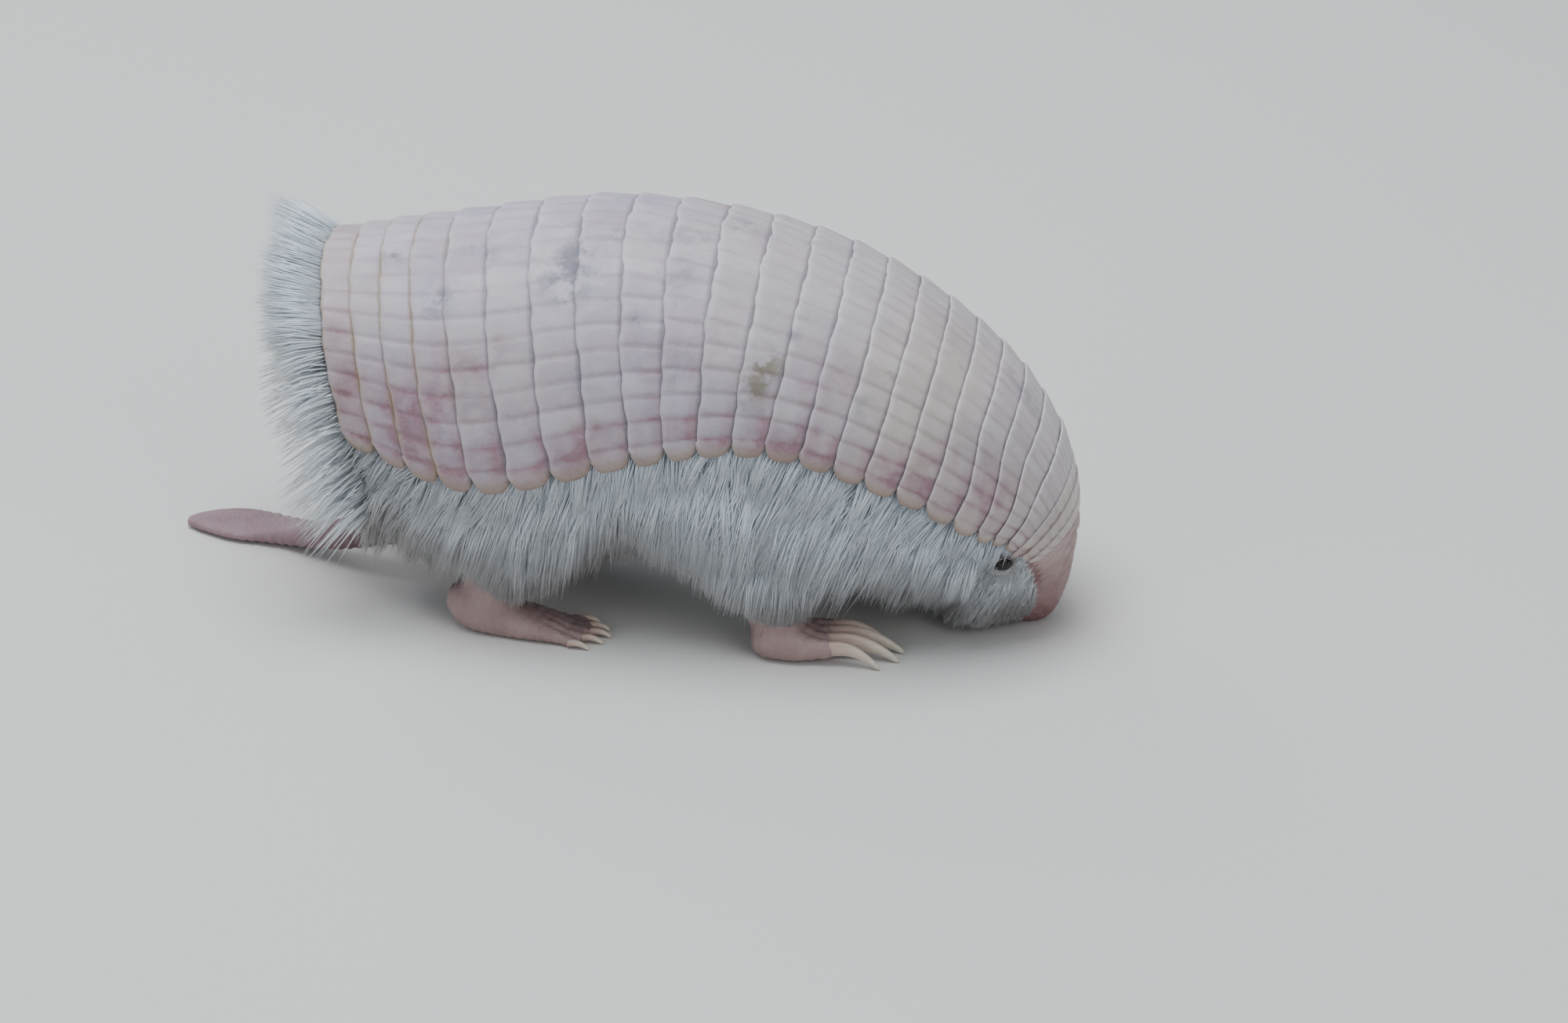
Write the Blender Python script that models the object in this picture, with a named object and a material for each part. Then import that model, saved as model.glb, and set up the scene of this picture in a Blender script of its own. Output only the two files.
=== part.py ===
"""Pink fairy armadillo (Chlamyphorus truncatus), life size, standing with its head bent down to the ground.

Metres, +Z up, +X toward the head, floor at Z = 0, origin under the middle of the bounding box.
The body is one loft through numbered stations: 0 is the rear rim of the shell, 22 the front of the last
free band, 23.4 the lower end of the head shield and 27.5 the tip of the nose. Thin gaps at chosen
stations part it into trunk, neck, head, muzzle and nose. The solids reach to the tips of the coat.
"""
import math

import bmesh
import bpy
import numpy as np
from mathutils import Matrix, Vector

MM = 0.001
GAP = 0.3 * MM                  # clear space kept between neighbouring solids
BAND_COUNT = 22
SHIELD_END = 23.4
BAND_THICKNESS = 1.2 * MM
BAND_LIP = 0.5 * MM             # how far a band's rear edge stands over the next band behind it
BAND_GAP = 0.07                 # gap between two bands, in stations
SHELL_REACH = math.radians(97)  # angle from the crest down to the shell's lower edge
ARCH_POWER = 2.15               # 2 is an ellipse, more is squarer
NECK_START = 16.5
HEAD_START = 18.6
MUZZLE_START = 24.2
NOSE_START = 27.1
NOSE_END = 27.5

# station, crest x z, keel x z, share of the way down at which the section is widest,
# half width of the shell there, half width of the coat under it (millimetres)
STATIONS = np.array([
    (0.0, -37.5, 46.4, -27.5, 4.5, 0.42, 17.0, 16.6),
    (4.0, -21.7, 49.5, -12.7, 7.0, 0.56, 20.8, 21.4),
    (8.0, 0.8, 52.9, 5.7, 9.3, 0.51, 21.4, 21.6),
    (12.0, 23.4, 48.9, 15.9, 8.5, 0.40, 22.2, 22.9),
    (16.0, 40.7, 40.7, 29.2, 5.8, 0.40, 19.8, 20.6),
    (20.0, 53.0, 29.2, 38.5, 3.4, 0.40, 15.3, 15.0),
    (22.0, 56.9, 21.6, 39.8, 3.2, 0.34, 12.4, 12.6),
    (23.4, 58.1, 15.6, 40.0, 2.4, 0.38, 10.2, 11.6),
    (24.4, 57.9, 11.5, 40.6, 1.8, 0.52, 8.8, 10.6),
    (25.5, 57.4, 7.0, 42.0, 1.2, 0.58, 6.8, 8.8),
    (26.4, 56.6, 3.8, 45.0, 0.8, 0.58, 4.8, 6.2),
    (27.1, 55.4, 1.0, 49.2, 0.5, 0.50, 2.9, 3.4),
    (27.5, 54.6, 0.0, 50.6, 0.0, 0.50, 2.1, 2.1),
])


def smooth_row(table, position):
    """Values of a table's columns at a place along its first column, on a smooth curve through its rows."""
    keys = table[:, 0]
    slopes = np.gradient(table[:, 1:], keys, axis=0)
    low = int(np.clip(np.searchsorted(keys, position) - 1, 0, len(keys) - 2))
    span = keys[low + 1] - keys[low]
    t = (position - keys[low]) / span
    start = (1 + 2 * t) * (1 - t) ** 2 * table[low, 1:] + t * (1 - t) ** 2 * span * slopes[low]
    end = t * t * (3 - 2 * t) * table[low + 1, 1:] + t * t * (t - 1) * span * slopes[low + 1]
    return start + end


def section(station):
    """Crest, widest level and keel as (x, z) points, with the shell's and the coat's half widths."""
    crest_x, crest_z, keel_x, keel_z, share, shell_half, coat_half = smooth_row(STATIONS, station)
    crest = np.array((crest_x, crest_z)) * MM
    keel = np.array((keel_x, keel_z)) * MM
    return crest, crest + share * (keel - crest), keel, shell_half * MM, coat_half * MM


def arch_point(station, angle, lift):
    """A point of the shell, at an angle from the crest, raised by lift from its outer surface."""
    crest, level, _, half, _ = section(station)
    rise = np.linalg.norm(crest - level)
    up = (crest - level) / rise
    along = math.copysign(abs(math.cos(angle)) ** (2 / ARCH_POWER), math.cos(angle)) * (rise + lift)
    side = math.copysign(abs(math.sin(angle)) ** (2 / ARCH_POWER), math.sin(angle)) * (half + lift)
    place = level + up * along
    return (place[0], side, place[1])


def coat_point(station, angle, grow):
    """A point of the coat under the shell's edge, from the widest level (90 degrees) to the keel (180)."""
    _, level, keel, _, half = section(station)
    fall = np.linalg.norm(keel - level)
    down = (keel - level) / fall
    along = abs(math.cos(angle)) ** (2 / ARCH_POWER) * (fall + grow)
    side = math.copysign(abs(math.sin(angle)) ** (2 / ARCH_POWER), math.sin(angle)) * (half + grow)
    place = level + down * along
    return (place[0], side, place[1])


def loft(rings, name):
    """Closed mesh over rings of equal point counts, each end closed by one face."""
    mesh = bpy.data.meshes.new(name)
    count = len(rings[0])
    faces = [tuple(range(count)), tuple(reversed(range((len(rings) - 1) * count, len(rings) * count)))]
    for row in range(len(rings) - 1):
        for column in range(count):
            after = (column + 1) % count
            near, far = row * count, (row + 1) * count
            faces.append((near + after, near + column, far + column, far + after))
    mesh.from_pydata([point for ring in rings for point in ring], [], faces)
    shape = bmesh.new()
    shape.from_mesh(mesh)
    bmesh.ops.triangulate(shape, faces=[face for face in shape.faces if len(face.verts) > 4])
    bmesh.ops.recalc_face_normals(shape, faces=shape.faces)
    shape.to_mesh(mesh)
    shape.free()
    return mesh


def collection(name):
    group = bpy.data.collections.new(name)
    bpy.context.scene.collection.children.link(group)
    return group


def material(name, colour, roughness):
    finish = bpy.data.materials.new(name)
    finish.use_nodes = True
    shader = finish.node_tree.nodes["Principled BSDF"]
    shader.inputs["Base Color"].default_value = (*colour, 1.0)
    shader.inputs["Roughness"].default_value = roughness
    shader.inputs["Metallic"].default_value = 0.0
    return finish


def place(name, mesh, finish, location=(0, 0, 0), rotation=(0, 0, 0)):
    """One named solid of the animal, with a material of its own."""
    piece = bpy.data.objects.new(name, mesh)
    mesh.materials.clear()
    mesh.materials.append(material(name, *finish))
    piece.location = location
    piece.rotation_euler = rotation
    PARTS.objects.link(piece)
    mesh.shade_smooth()
    return piece


def tool(name, mesh, location=(0, 0, 0), rotation=(0, 0, 0)):
    """A hidden shape that a Boolean modifier uses."""
    cutter = bpy.data.objects.new(name, mesh)
    cutter.location = location
    cutter.rotation_euler = rotation
    cutter.hide_render = True
    cutter.display_type = "WIRE"
    CUTTERS.objects.link(cutter)
    return cutter


def boolean(piece, cutter, operation):
    change = piece.modifiers.new(operation.lower(), "BOOLEAN")
    change.operation = operation
    change.solver = "EXACT"
    change.object = cutter


for old in list(bpy.data.objects):
    bpy.data.objects.remove(old, do_unlink=True)
PARTS = collection("pink_fairy_armadillo")
CUTTERS = collection("cutters")

HORN_PINK = ((0.62, 0.47, 0.46), 0.45)
COAT_WHITE = ((0.80, 0.78, 0.75), 0.85)
BARE_SKIN = ((0.72, 0.42, 0.38), 0.55)
CLAW_HORN = ((0.78, 0.70, 0.58), 0.35)
EYE_BLACK = ((0.01, 0.01, 0.01), 0.08)


# ---- Shell: 22 free bands, the head shield on the brow and the upright plate that closes the rump.
ARCH_STEPS = 16
ARCH_ANGLES = np.linspace(-SHELL_REACH, SHELL_REACH, ARCH_STEPS + 1)


def arch_slice(station, lift, thickness):
    """Closed outline of a shell piece in one station's plane: outer side, then back along the inner side."""
    outer = [arch_point(station, angle, lift) for angle in ARCH_ANGLES]
    inner = [arch_point(station, angle, -thickness) for angle in ARCH_ANGLES[::-1]]
    return outer + inner


def arch_mesh(name, slices):
    """Closed mesh through shell outlines; its two ends are strips of quads, as an arch isn't convex."""
    rings = [point for ring in slices for point in ring]
    count = len(slices[0])
    half = count // 2
    faces = []
    for row in range(len(slices) - 1):
        for column in range(count):
            after = (column + 1) % count
            faces.append((row * count + column, row * count + after,
                          (row + 1) * count + after, (row + 1) * count + column))
    for column in range(half - 1):
        opposite = count - 1 - column
        end = (len(slices) - 1) * count
        faces.append((column + 1, column, opposite, opposite - 1))
        faces.append((end + column, end + column + 1, end + opposite - 1, end + opposite))
    mesh = bpy.data.meshes.new(name)
    mesh.from_pydata(rings, [], faces)
    shape = bmesh.new()
    shape.from_mesh(mesh)
    bmesh.ops.recalc_face_normals(shape, faces=shape.faces)
    shape.to_mesh(mesh)
    shape.free()
    return mesh


def make_bands():
    for number in range(BAND_COUNT):
        front = number + 1 - BAND_GAP
        name = f"band_{number + 1:02d}"
        slices = [arch_slice(number, BAND_LIP, BAND_THICKNESS), arch_slice(front, 0.0, BAND_THICKNESS)]
        place(name, arch_mesh(name, slices), HORN_PINK)


def make_head_shield():
    stations = np.linspace(BAND_COUNT, SHIELD_END, 5)
    lifts = np.linspace(BAND_LIP, 0.0, 5)
    slices = [arch_slice(station, lift, BAND_THICKNESS) for station, lift in zip(stations, lifts)]
    place("head_shield", arch_mesh("head_shield", slices), HORN_PINK)


# The rump's own directions: back is square to the shell's rear rim.
RIM_CREST, RIM_LEVEL, RIM_KEEL, _, _ = section(0.0)
RIM_UP = Vector((RIM_CREST[0] - RIM_LEVEL[0], 0, RIM_CREST[1] - RIM_LEVEL[1])).normalized()
RIM_BACK = Vector((-RIM_UP.z, 0, RIM_UP.x))

PLATE_INSET = 4.4 * MM          # from the shell's outer surface in to the plate's edge
PLATE_FALL = 15.0 * MM          # from the shell's widest level down to the plate's lower edge
PLATE_EDGE = 1.2 * MM
PLATE_DOME = 2.2 * MM
PLATE_STEPS = 24


def plate_point(angle, size, back):
    """A point of the rump plate: size 1 is its edge and 0 its middle, back is how far out it stands."""
    middle = Vector((RIM_LEVEL[0], 0, RIM_LEVEL[1]))
    if math.cos(angle) >= 0:
        rim = Vector(arch_point(0.0, angle, -PLATE_INSET))
    else:
        side = Vector(arch_point(0.0, math.copysign(math.pi / 2, math.sin(angle)), -PLATE_INSET))
        rim = middle + RIM_UP * PLATE_FALL * math.cos(angle)
        rim.y = side.y * abs(math.sin(angle))
    return tuple(middle.lerp(rim, size) + RIM_BACK * back)


def make_rump_plate():
    angles = [2 * math.pi * step / PLATE_STEPS for step in range(PLATE_STEPS)]
    angles = [angle if angle <= math.pi else angle - 2 * math.pi for angle in angles]
    levels = [(1.0, GAP), (1.0, PLATE_EDGE)]
    levels += [(size, PLATE_EDGE + PLATE_DOME * (1 - size ** 2)) for size in (0.75, 0.45, 0.15)]
    rings = [[plate_point(angle, size, back) for angle in angles] for size, back in levels]
    place("rump_plate", loft(rings, "rump_plate"), HORN_PINK)


# ---- Fringe: the stiff white hair that stands out round the rump, between the shell's rim and the plate.
FRINGE_LENGTH = 8.6 * MM
FRINGE_LOW_LENGTH = 4.0 * MM
FRINGE_FLARE = math.radians(28)
FRINGE_ROOT = 2.8 * MM
FRINGE_TIP = 1.2 * MM
FRINGE_REACH = math.radians(122)
FRINGE_NAMES = ("fringe_right_low", "fringe_right_high", "fringe_top", "fringe_left_high", "fringe_left_low")


def fringe_slice(angle):
    """Root and tip of the fringe at one angle round the rim, as a closed outline of four points."""
    reach = min(abs(angle), SHELL_REACH)
    root_out = Vector(arch_point(0.0, math.copysign(reach, angle), -GAP))
    if abs(angle) > SHELL_REACH:
        root_out = Vector(coat_point(0.0, angle, -GAP))
    centre = Vector((RIM_LEVEL[0], 0, RIM_LEVEL[1]))
    outward = (root_out - centre).normalized()
    root_out += RIM_BACK * GAP
    root_in = root_out - outward * FRINGE_ROOT
    lie = RIM_BACK * math.cos(FRINGE_FLARE) + outward * math.sin(FRINGE_FLARE)
    lowness = max(0.0, abs(angle) - math.pi / 3) / (FRINGE_REACH - math.pi / 3)
    tip_out = root_out + lie * (FRINGE_LENGTH + (FRINGE_LOW_LENGTH - FRINGE_LENGTH) * lowness)
    tip_in = tip_out - outward * FRINGE_TIP
    return [tuple(root_out), tuple(tip_out), tuple(tip_in), tuple(root_in)]


def make_fringe():
    sector = 2 * FRINGE_REACH / len(FRINGE_NAMES)
    clear = math.radians(0.6)
    for number, name in enumerate(FRINGE_NAMES):
        start = -FRINGE_REACH + number * sector
        angles = np.linspace(start + clear, start + sector - clear, 6)
        place(name, loft([fringe_slice(angle) for angle in angles], name), COAT_WHITE)


# ---- Body: trunk, neck, head, muzzle and nose, out to the tips of the coat.
UNDER_SHELL = BAND_THICKNESS + GAP
UPPER_ANGLES = np.radians((0, 15, 30, 45, 60, 75, 88, 101))
LOWER_ANGLES = np.radians((108, 119, 131, 144, 158, 172))


def body_ring(station, grow=0.0):
    """Outline of the body at a station, grown by a margin: under the shell above, coat below."""
    cover = UNDER_SHELL if station < SHIELD_END + 0.1 else 0.0
    right = [arch_point(station, -angle, grow - cover) for angle in UPPER_ANGLES[1:]]
    right += [coat_point(station, -angle, grow) for angle in LOWER_ANGLES]
    left = [(x, -y, z) for x, y, z in reversed(right)]
    top = arch_point(station, 0.0, grow - cover)
    keel = coat_point(station, math.pi, grow)
    return [top] + right + [(keel[0], 0.0, keel[2])] + left


def body_piece(name, stations, finish):
    return place(name, loft([body_ring(station) for station in stations], name), finish)


CUT = 0.05                      # half of the thin gap between two lengths of the body, in stations
REAR_INSET = 0.15               # the trunk starts this far in front of the shell's rear rim


def make_body():
    body_piece("trunk", (REAR_INSET, 1, 2.5, 4, 6, 8, 10, 12, 14, NECK_START - CUT), COAT_WHITE)
    body_piece("neck", (NECK_START + CUT, 17.5, HEAD_START - CUT), COAT_WHITE)
    head = body_piece("head", (HEAD_START + CUT, 19.5, 20.5, 21.5, 22.5, SHIELD_END + 0.06, SHIELD_END + 0.2,
                               MUZZLE_START - CUT), COAT_WHITE)
    body_piece("muzzle", (MUZZLE_START + CUT, 24.8, 25.5, 26.1, 26.6, NOSE_START - CUT), BARE_SKIN)
    body_piece("nose", (NOSE_START + CUT, 27.3, NOSE_END), BARE_SKIN)
    return head


# ---- Eyes and ears: each sits in an open hollow of the head.
EYE_RADIUS = 1.25 * MM
EYE_CENTRE = (49.3 * MM, 10.6 * MM, 12.9 * MM)
EAR_CENTRE = (44.9 * MM, 12.7 * MM, 14.2 * MM)
EAR_HALVES = Vector((1.7, 0.6, 2.1)) * MM
EAR_TILT = math.radians(-20)


def ball_mesh(name, halves, grow=0.0):
    shape = bmesh.new()
    bmesh.ops.create_uvsphere(shape, u_segments=12, v_segments=8, radius=1.0)
    bmesh.ops.scale(shape, vec=[half + grow for half in halves], verts=shape.verts)
    mesh = bpy.data.meshes.new(name)
    shape.to_mesh(mesh)
    shape.free()
    return mesh


def make_face(head):
    for side, word in ((1, "left"), (-1, "right")):
        eye_at = (EYE_CENTRE[0], side * EYE_CENTRE[1], EYE_CENTRE[2])
        ear_at = (EAR_CENTRE[0], side * EAR_CENTRE[1], EAR_CENTRE[2])
        turn = (0, EAR_TILT, 0)
        eye = (EYE_RADIUS,) * 3
        place(f"eye_{word}", ball_mesh(f"eye_{word}", eye), EYE_BLACK, eye_at)
        place(f"ear_{word}", ball_mesh(f"ear_{word}", EAR_HALVES), BARE_SKIN, ear_at, turn)
        eye_hollow = tool(f"eye_hollow_{word}", ball_mesh("eye_hollow", eye, GAP), eye_at)
        ear_hollow = tool(f"ear_hollow_{word}", ball_mesh("ear_hollow", EAR_HALVES, GAP), ear_at, turn)
        boolean(head, eye_hollow, "DIFFERENCE")
        boolean(head, ear_hollow, "DIFFERENCE")


# ---- Limbs and tail: tapered lofts along a path, flat where they lie on the floor.
def limb_mesh(name, rows, steps, grow=0.0, level=False):
    """Loft along rows of (x, y, z, half width, half depth) in millimetres; nothing goes under Z = 0.

    The sections stand square to the path, with their width across it, or all lie level, as in a leg.
    """
    rows = np.array(rows, dtype=float) * MM
    centres = rows[:, :3]
    tangents = np.gradient(centres, axis=0)
    tangents /= np.linalg.norm(tangents, axis=1)[:, None]
    across = np.cross(tangents, (0.0, 0.0, 1.0))
    if level:
        across = np.tile((0.0, 1.0, 0.0), (len(rows), 1))
        tangents = np.tile((0.0, 0.0, -1.0), (len(rows), 1))
    across /= np.linalg.norm(across, axis=1)[:, None]
    upward = np.cross(across, tangents)
    turns = np.linspace(0, 2 * math.pi, steps, endpoint=False)
    rings = []
    for centre, side, up, half in zip(centres, across, upward, rows[:, 3:] + grow):
        ring = [centre + side * half[0] * math.cos(turn) + up * half[1] * math.sin(turn) for turn in turns]
        rings.append([(point[0], point[1], max(point[2], -grow)) for point in ring])
    return loft(rings, name)


def mirrored(rows, side):
    return [(x, y * side, z, width, depth) for x, y, z, width, depth in rows]


TAIL_ROWS = (
    (-27.0, 0.6, 7.4, 2.6, 2.4),
    (-33.0, 1.4, 5.4, 2.6, 2.3),
    (-39.0, 4.0, 3.0, 2.3, 1.9),
    (-44.0, 7.2, 1.5, 2.3, 1.5),
    (-48.5, 9.2, 1.0, 3.2, 1.1),
    (-51.5, 9.8, 0.9, 4.2, 0.95),
    (-54.5, 10.0, 0.85, 4.1, 0.85),
    (-57.0, 9.9, 0.8, 2.9, 0.7),
    (-58.1, 9.8, 0.75, 1.2, 0.5),
)


def make_tail(body_cutter):
    tail = place("tail", limb_mesh("tail", TAIL_ROWS, 12), BARE_SKIN)
    boolean(tail, body_cutter, "DIFFERENCE")


HIND_LEG_ROWS = (
    (-10.5, 11.0, 19.0, 8.0, 11.0),
    (-11.5, 12.6, 14.0, 7.6, 11.0),
    (-13.0, 13.4, 9.5, 6.2, 9.0),
    (-14.6, 13.4, 5.8, 4.2, 5.6),
    (-15.4, 13.2, 3.0, 2.9, 3.4),
)
HIND_FOOT_ROWS = (
    (-20.4, 12.8, 4.7, 1.4, 1.4),
    (-19.2, 12.8, 4.3, 2.4, 2.6),
    (-16.6, 12.9, 3.1, 3.0, 3.3),
    (-12.8, 13.2, 1.9, 3.1, 2.8),
    (-8.8, 13.4, 1.3, 3.5, 1.9),
    (-5.6, 13.6, 0.9, 3.6, 1.2),
)
HIND_TOE_REACH = (3.4, 4.8, 5.2, 4.4, 2.8)       # from the innermost toe out, with its claw (mm)


def make_hind_limbs(body_cutter):
    for side, word in ((1, "left"), (-1, "right")):
        rows = mirrored(HIND_FOOT_ROWS, side)
        foot = place(f"hind_foot_{word}", limb_mesh(f"hind_foot_{word}", rows, 12), BARE_SKIN)
        for number, reach in enumerate(HIND_TOE_REACH):
            spread = (number - 2) * 1.42
            start = (-7.4, 13.5 + spread * 0.92, 1.0)
            tip = (-5.0 + reach, 13.7 + spread * 1.25, 0.28)
            toe = [(start[0] + (tip[0] - start[0]) * t, start[1] + (tip[1] - start[1]) * t,
                    start[2] + (tip[2] - start[2]) * t, width, depth)
                   for t, width, depth in ((0.0, 0.75, 0.9), (0.45, 0.72, 0.85), (0.72, 0.55, 0.6), (1.0, 0.25, 0.3))]
            name = f"hind_toe_{word}_{number + 1}"
            boolean(foot, tool(name, limb_mesh(name, mirrored(toe, side), 6)), "UNION")
        leg_rows = mirrored(HIND_LEG_ROWS, side)
        leg = place(f"hind_leg_{word}", limb_mesh(f"hind_leg_{word}", leg_rows, 14, level=True), COAT_WHITE)
        foot_cutter = tool(f"hind_foot_cut_{word}", limb_mesh("hind_foot_cut", rows, 12, grow=GAP))
        boolean(leg, body_cutter, "DIFFERENCE")
        boolean(leg, foot_cutter, "DIFFERENCE")


FORE_LEG_ROWS = (
    (18.0, 12.5, 18.0, 8.0, 12.5),
    (18.0, 14.2, 13.0, 7.8, 12.5),
    (18.6, 15.2, 9.2, 6.0, 10.6),
    (20.2, 15.0, 6.2, 4.2, 6.2),
    (21.4, 14.6, 3.8, 3.0, 3.4),
)
FORE_FOOT_ROWS = (
    (18.2, 14.6, 2.4, 2.2, 1.4),
    (19.4, 14.6, 2.3, 3.2, 2.3),
    (22.0, 14.5, 2.2, 3.9, 2.7),
    (25.0, 14.3, 2.0, 4.2, 2.5),
    (27.0, 14.2, 1.9, 4.0, 2.1),
)
FORE_CLAWS = (                  # across the hand, length, half width, half depth (mm), innermost first
    (-2.9, 7.4, 0.75, 1.15),
    (-1.05, 9.6, 0.85, 1.45),
    (0.95, 9.2, 0.85, 1.45),
    (2.85, 7.0, 0.75, 1.15),
)


def claw_rows(across, length, width, depth, side):
    """A blade that rises a little from the hand, bends down and meets the floor with its tip."""
    start_x = FORE_FOOT_ROWS[-1][0] + 0.7
    start_y = FORE_FOOT_ROWS[-1][1]
    rows = []
    for t in (0.0, 0.25, 0.5, 0.75, 0.92, 1.0):
        shrink = (1 - t) ** 0.6 if t < 1 else 0.0
        height = 1.9 + 1.0 * math.sin(math.pi * t * 0.9) - 1.95 * t ** 2
        rows.append((start_x + length * t, (start_y + across * (1 + 0.25 * t)) * side, height,
                     0.25 + (width - 0.25) * shrink, 0.3 + (depth - 0.3) * shrink))
    return rows


def make_fore_limbs(body_cutter):
    for side, word in ((1, "left"), (-1, "right")):
        rows = mirrored(FORE_FOOT_ROWS, side)
        place(f"fore_foot_{word}", limb_mesh(f"fore_foot_{word}", rows, 14), BARE_SKIN)
        leg_rows = mirrored(FORE_LEG_ROWS, side)
        leg = place(f"fore_leg_{word}", limb_mesh(f"fore_leg_{word}", leg_rows, 14, level=True), COAT_WHITE)
        foot_cutter = tool(f"fore_foot_cut_{word}", limb_mesh("fore_foot_cut", rows, 14, grow=GAP))
        boolean(leg, body_cutter, "DIFFERENCE")
        boolean(leg, foot_cutter, "DIFFERENCE")
        for number, (across, length, width, depth) in enumerate(FORE_CLAWS):
            name = f"fore_claw_{word}_{number + 1}"
            claw = limb_mesh(name, claw_rows(across, length, width, depth, side), 8)
            place(name, claw, CLAW_HORN)


make_bands()
make_head_shield()
make_rump_plate()
make_fringe()
make_face(make_body())
BODY_STATIONS = (REAR_INSET - 0.06, 1, 2.5, 4, 6, 8, 10, 12, 14, 16, 18, 20)
BODY_CUTTER = tool("body_cut", loft([body_ring(station, GAP) for station in BODY_STATIONS], "body_cut"))
make_tail(BODY_CUTTER)
make_hind_limbs(BODY_CUTTER)
make_fore_limbs(BODY_CUTTER)
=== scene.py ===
"""Looks of the pink fairy armadillo: its banded shell, skin, silky coat, rump fringe, claws and eyes.

Lengths are in metres unless they say millimetres. Stations number the body from 0, the shell's rear rim,
to 27.5, the nose's tip: the bands lie from 0 to 22, and the head from there on.
"""
import math

import bpy
import numpy as np
from mathutils import Matrix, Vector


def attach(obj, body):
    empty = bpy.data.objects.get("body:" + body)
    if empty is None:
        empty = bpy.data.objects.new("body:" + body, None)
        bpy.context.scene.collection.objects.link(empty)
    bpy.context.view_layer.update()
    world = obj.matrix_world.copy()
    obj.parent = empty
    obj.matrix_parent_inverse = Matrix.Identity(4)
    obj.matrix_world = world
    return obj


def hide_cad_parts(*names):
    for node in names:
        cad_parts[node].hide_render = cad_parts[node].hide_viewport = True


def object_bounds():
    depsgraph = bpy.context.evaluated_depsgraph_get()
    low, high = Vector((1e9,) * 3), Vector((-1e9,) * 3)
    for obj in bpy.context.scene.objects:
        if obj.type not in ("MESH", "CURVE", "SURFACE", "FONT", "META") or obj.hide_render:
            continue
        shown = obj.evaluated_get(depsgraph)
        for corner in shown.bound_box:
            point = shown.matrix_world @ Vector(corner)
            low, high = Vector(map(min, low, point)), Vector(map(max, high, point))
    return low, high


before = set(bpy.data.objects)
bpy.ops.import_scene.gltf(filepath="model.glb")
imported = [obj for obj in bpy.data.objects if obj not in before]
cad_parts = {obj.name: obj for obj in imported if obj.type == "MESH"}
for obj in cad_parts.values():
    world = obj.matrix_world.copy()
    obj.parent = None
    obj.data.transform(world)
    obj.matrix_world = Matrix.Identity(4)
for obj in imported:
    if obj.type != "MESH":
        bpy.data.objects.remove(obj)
cad_low, cad_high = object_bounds()
MM = 0.001
LAST_STATION = 27.5             # the nose's tip


# ---- Stage: a pale matt floor under soft studio light, seen by a long lens from a little above the
# animal's right side.
def paint(code):
    """A scene colour (linear red, green, blue) from a painter's hex code."""
    value = np.array([int(code[start:start + 2], 16) / 255 for start in (1, 3, 5)])
    return np.where(value > 0.04045, ((value + 0.055) / 1.055) ** 2.4, value / 12.92)


def new_material(name, finish):
    """A material and its shader: finish gives the shader's sockets what the whole surface has."""
    made = bpy.data.materials.new(name)
    made.use_nodes = True
    shader = made.node_tree.nodes["Principled BSDF"]
    for socket, value in finish.items():
        shader.inputs[socket].default_value = (*paint(value), 1.0) if isinstance(value, str) else value
    return made, shader


FLOOR_HALF = 1.6
bpy.ops.mesh.primitive_plane_add(size=2 * FLOOR_HALF, location=(0, 0, 0))
floor = bpy.context.object
floor.name = "floor"
floor.data.materials.append(new_material("floor_paper", {"Base Color": "#d9d6d2", "Roughness": 0.9})[0])

world = bpy.data.worlds.new("studio")
bpy.context.scene.world = world
world.use_nodes = True
world.node_tree.nodes["Background"].inputs["Color"].default_value = (0.82, 0.90, 1.0, 1.0)
world.node_tree.nodes["Background"].inputs["Strength"].default_value = 0.42


def soft_light(name, place, aim, size, power, colour):
    """A square soft box at a place, turned to face its aim."""
    lamp = bpy.data.lights.new(name, "AREA")
    lamp.size = size
    lamp.energy = power
    lamp.color = colour
    box = bpy.data.objects.new(name, lamp)
    box.location = place
    from_aim = np.array(place) - np.array(aim)
    turn = math.atan2(from_aim[1], from_aim[0]) + math.pi / 2
    box.rotation_euler = (math.atan2(math.hypot(from_aim[0], from_aim[1]), from_aim[2]), 0, turn)
    bpy.context.scene.collection.objects.link(box)


MIDDLE = (0.0, 0.0, 0.025)
soft_light("overhead", (-0.10, -0.06, 0.75), MIDDLE, 0.50, 6.3, (0.90, 0.95, 1.0))
soft_light("side", (0.55, -0.65, 0.45), MIDDLE, 0.50, 1.4, (1.0, 0.98, 0.95))
soft_light("rear_side", (-0.60, -0.60, 0.35), MIDDLE, 0.50, 1.0, (0.94, 0.97, 1.0))
soft_light("back", (-0.50, 0.60, 0.45), MIDDLE, 0.50, 2.0, (0.95, 0.97, 1.0))

AIM = np.array((20.05, 5.66, 9.57)) * MM
AZIMUTH, ELEVATION, ROLL = np.radians((5.6, 27.0, 1.0))
DISTANCE = 1.0
LENS = 180.0                    # millimetres on a 36 mm wide sensor: 0.2 m across at the animal
right = np.array((math.cos(AZIMUTH), math.sin(AZIMUTH), 0.0))
back = np.array((math.sin(AZIMUTH) * math.cos(ELEVATION), -math.cos(AZIMUTH) * math.cos(ELEVATION),
                 math.sin(ELEVATION)))
upright = np.cross(back, right)
lens = bpy.data.cameras.new("camera")
lens.lens = LENS
lens.sensor_width = 36.0
lens.clip_start = 0.05
camera = bpy.data.objects.new("camera", lens)
turned = np.eye(4)
turned[:3, 0] = right * math.cos(ROLL) + upright * math.sin(ROLL)
turned[:3, 1] = upright * math.cos(ROLL) - right * math.sin(ROLL)
turned[:3, 2] = back
turned[:3, 3] = AIM + back * DISTANCE
camera.matrix_world = Matrix(turned)
bpy.context.scene.collection.objects.link(camera)
bpy.context.scene.camera = camera


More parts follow.
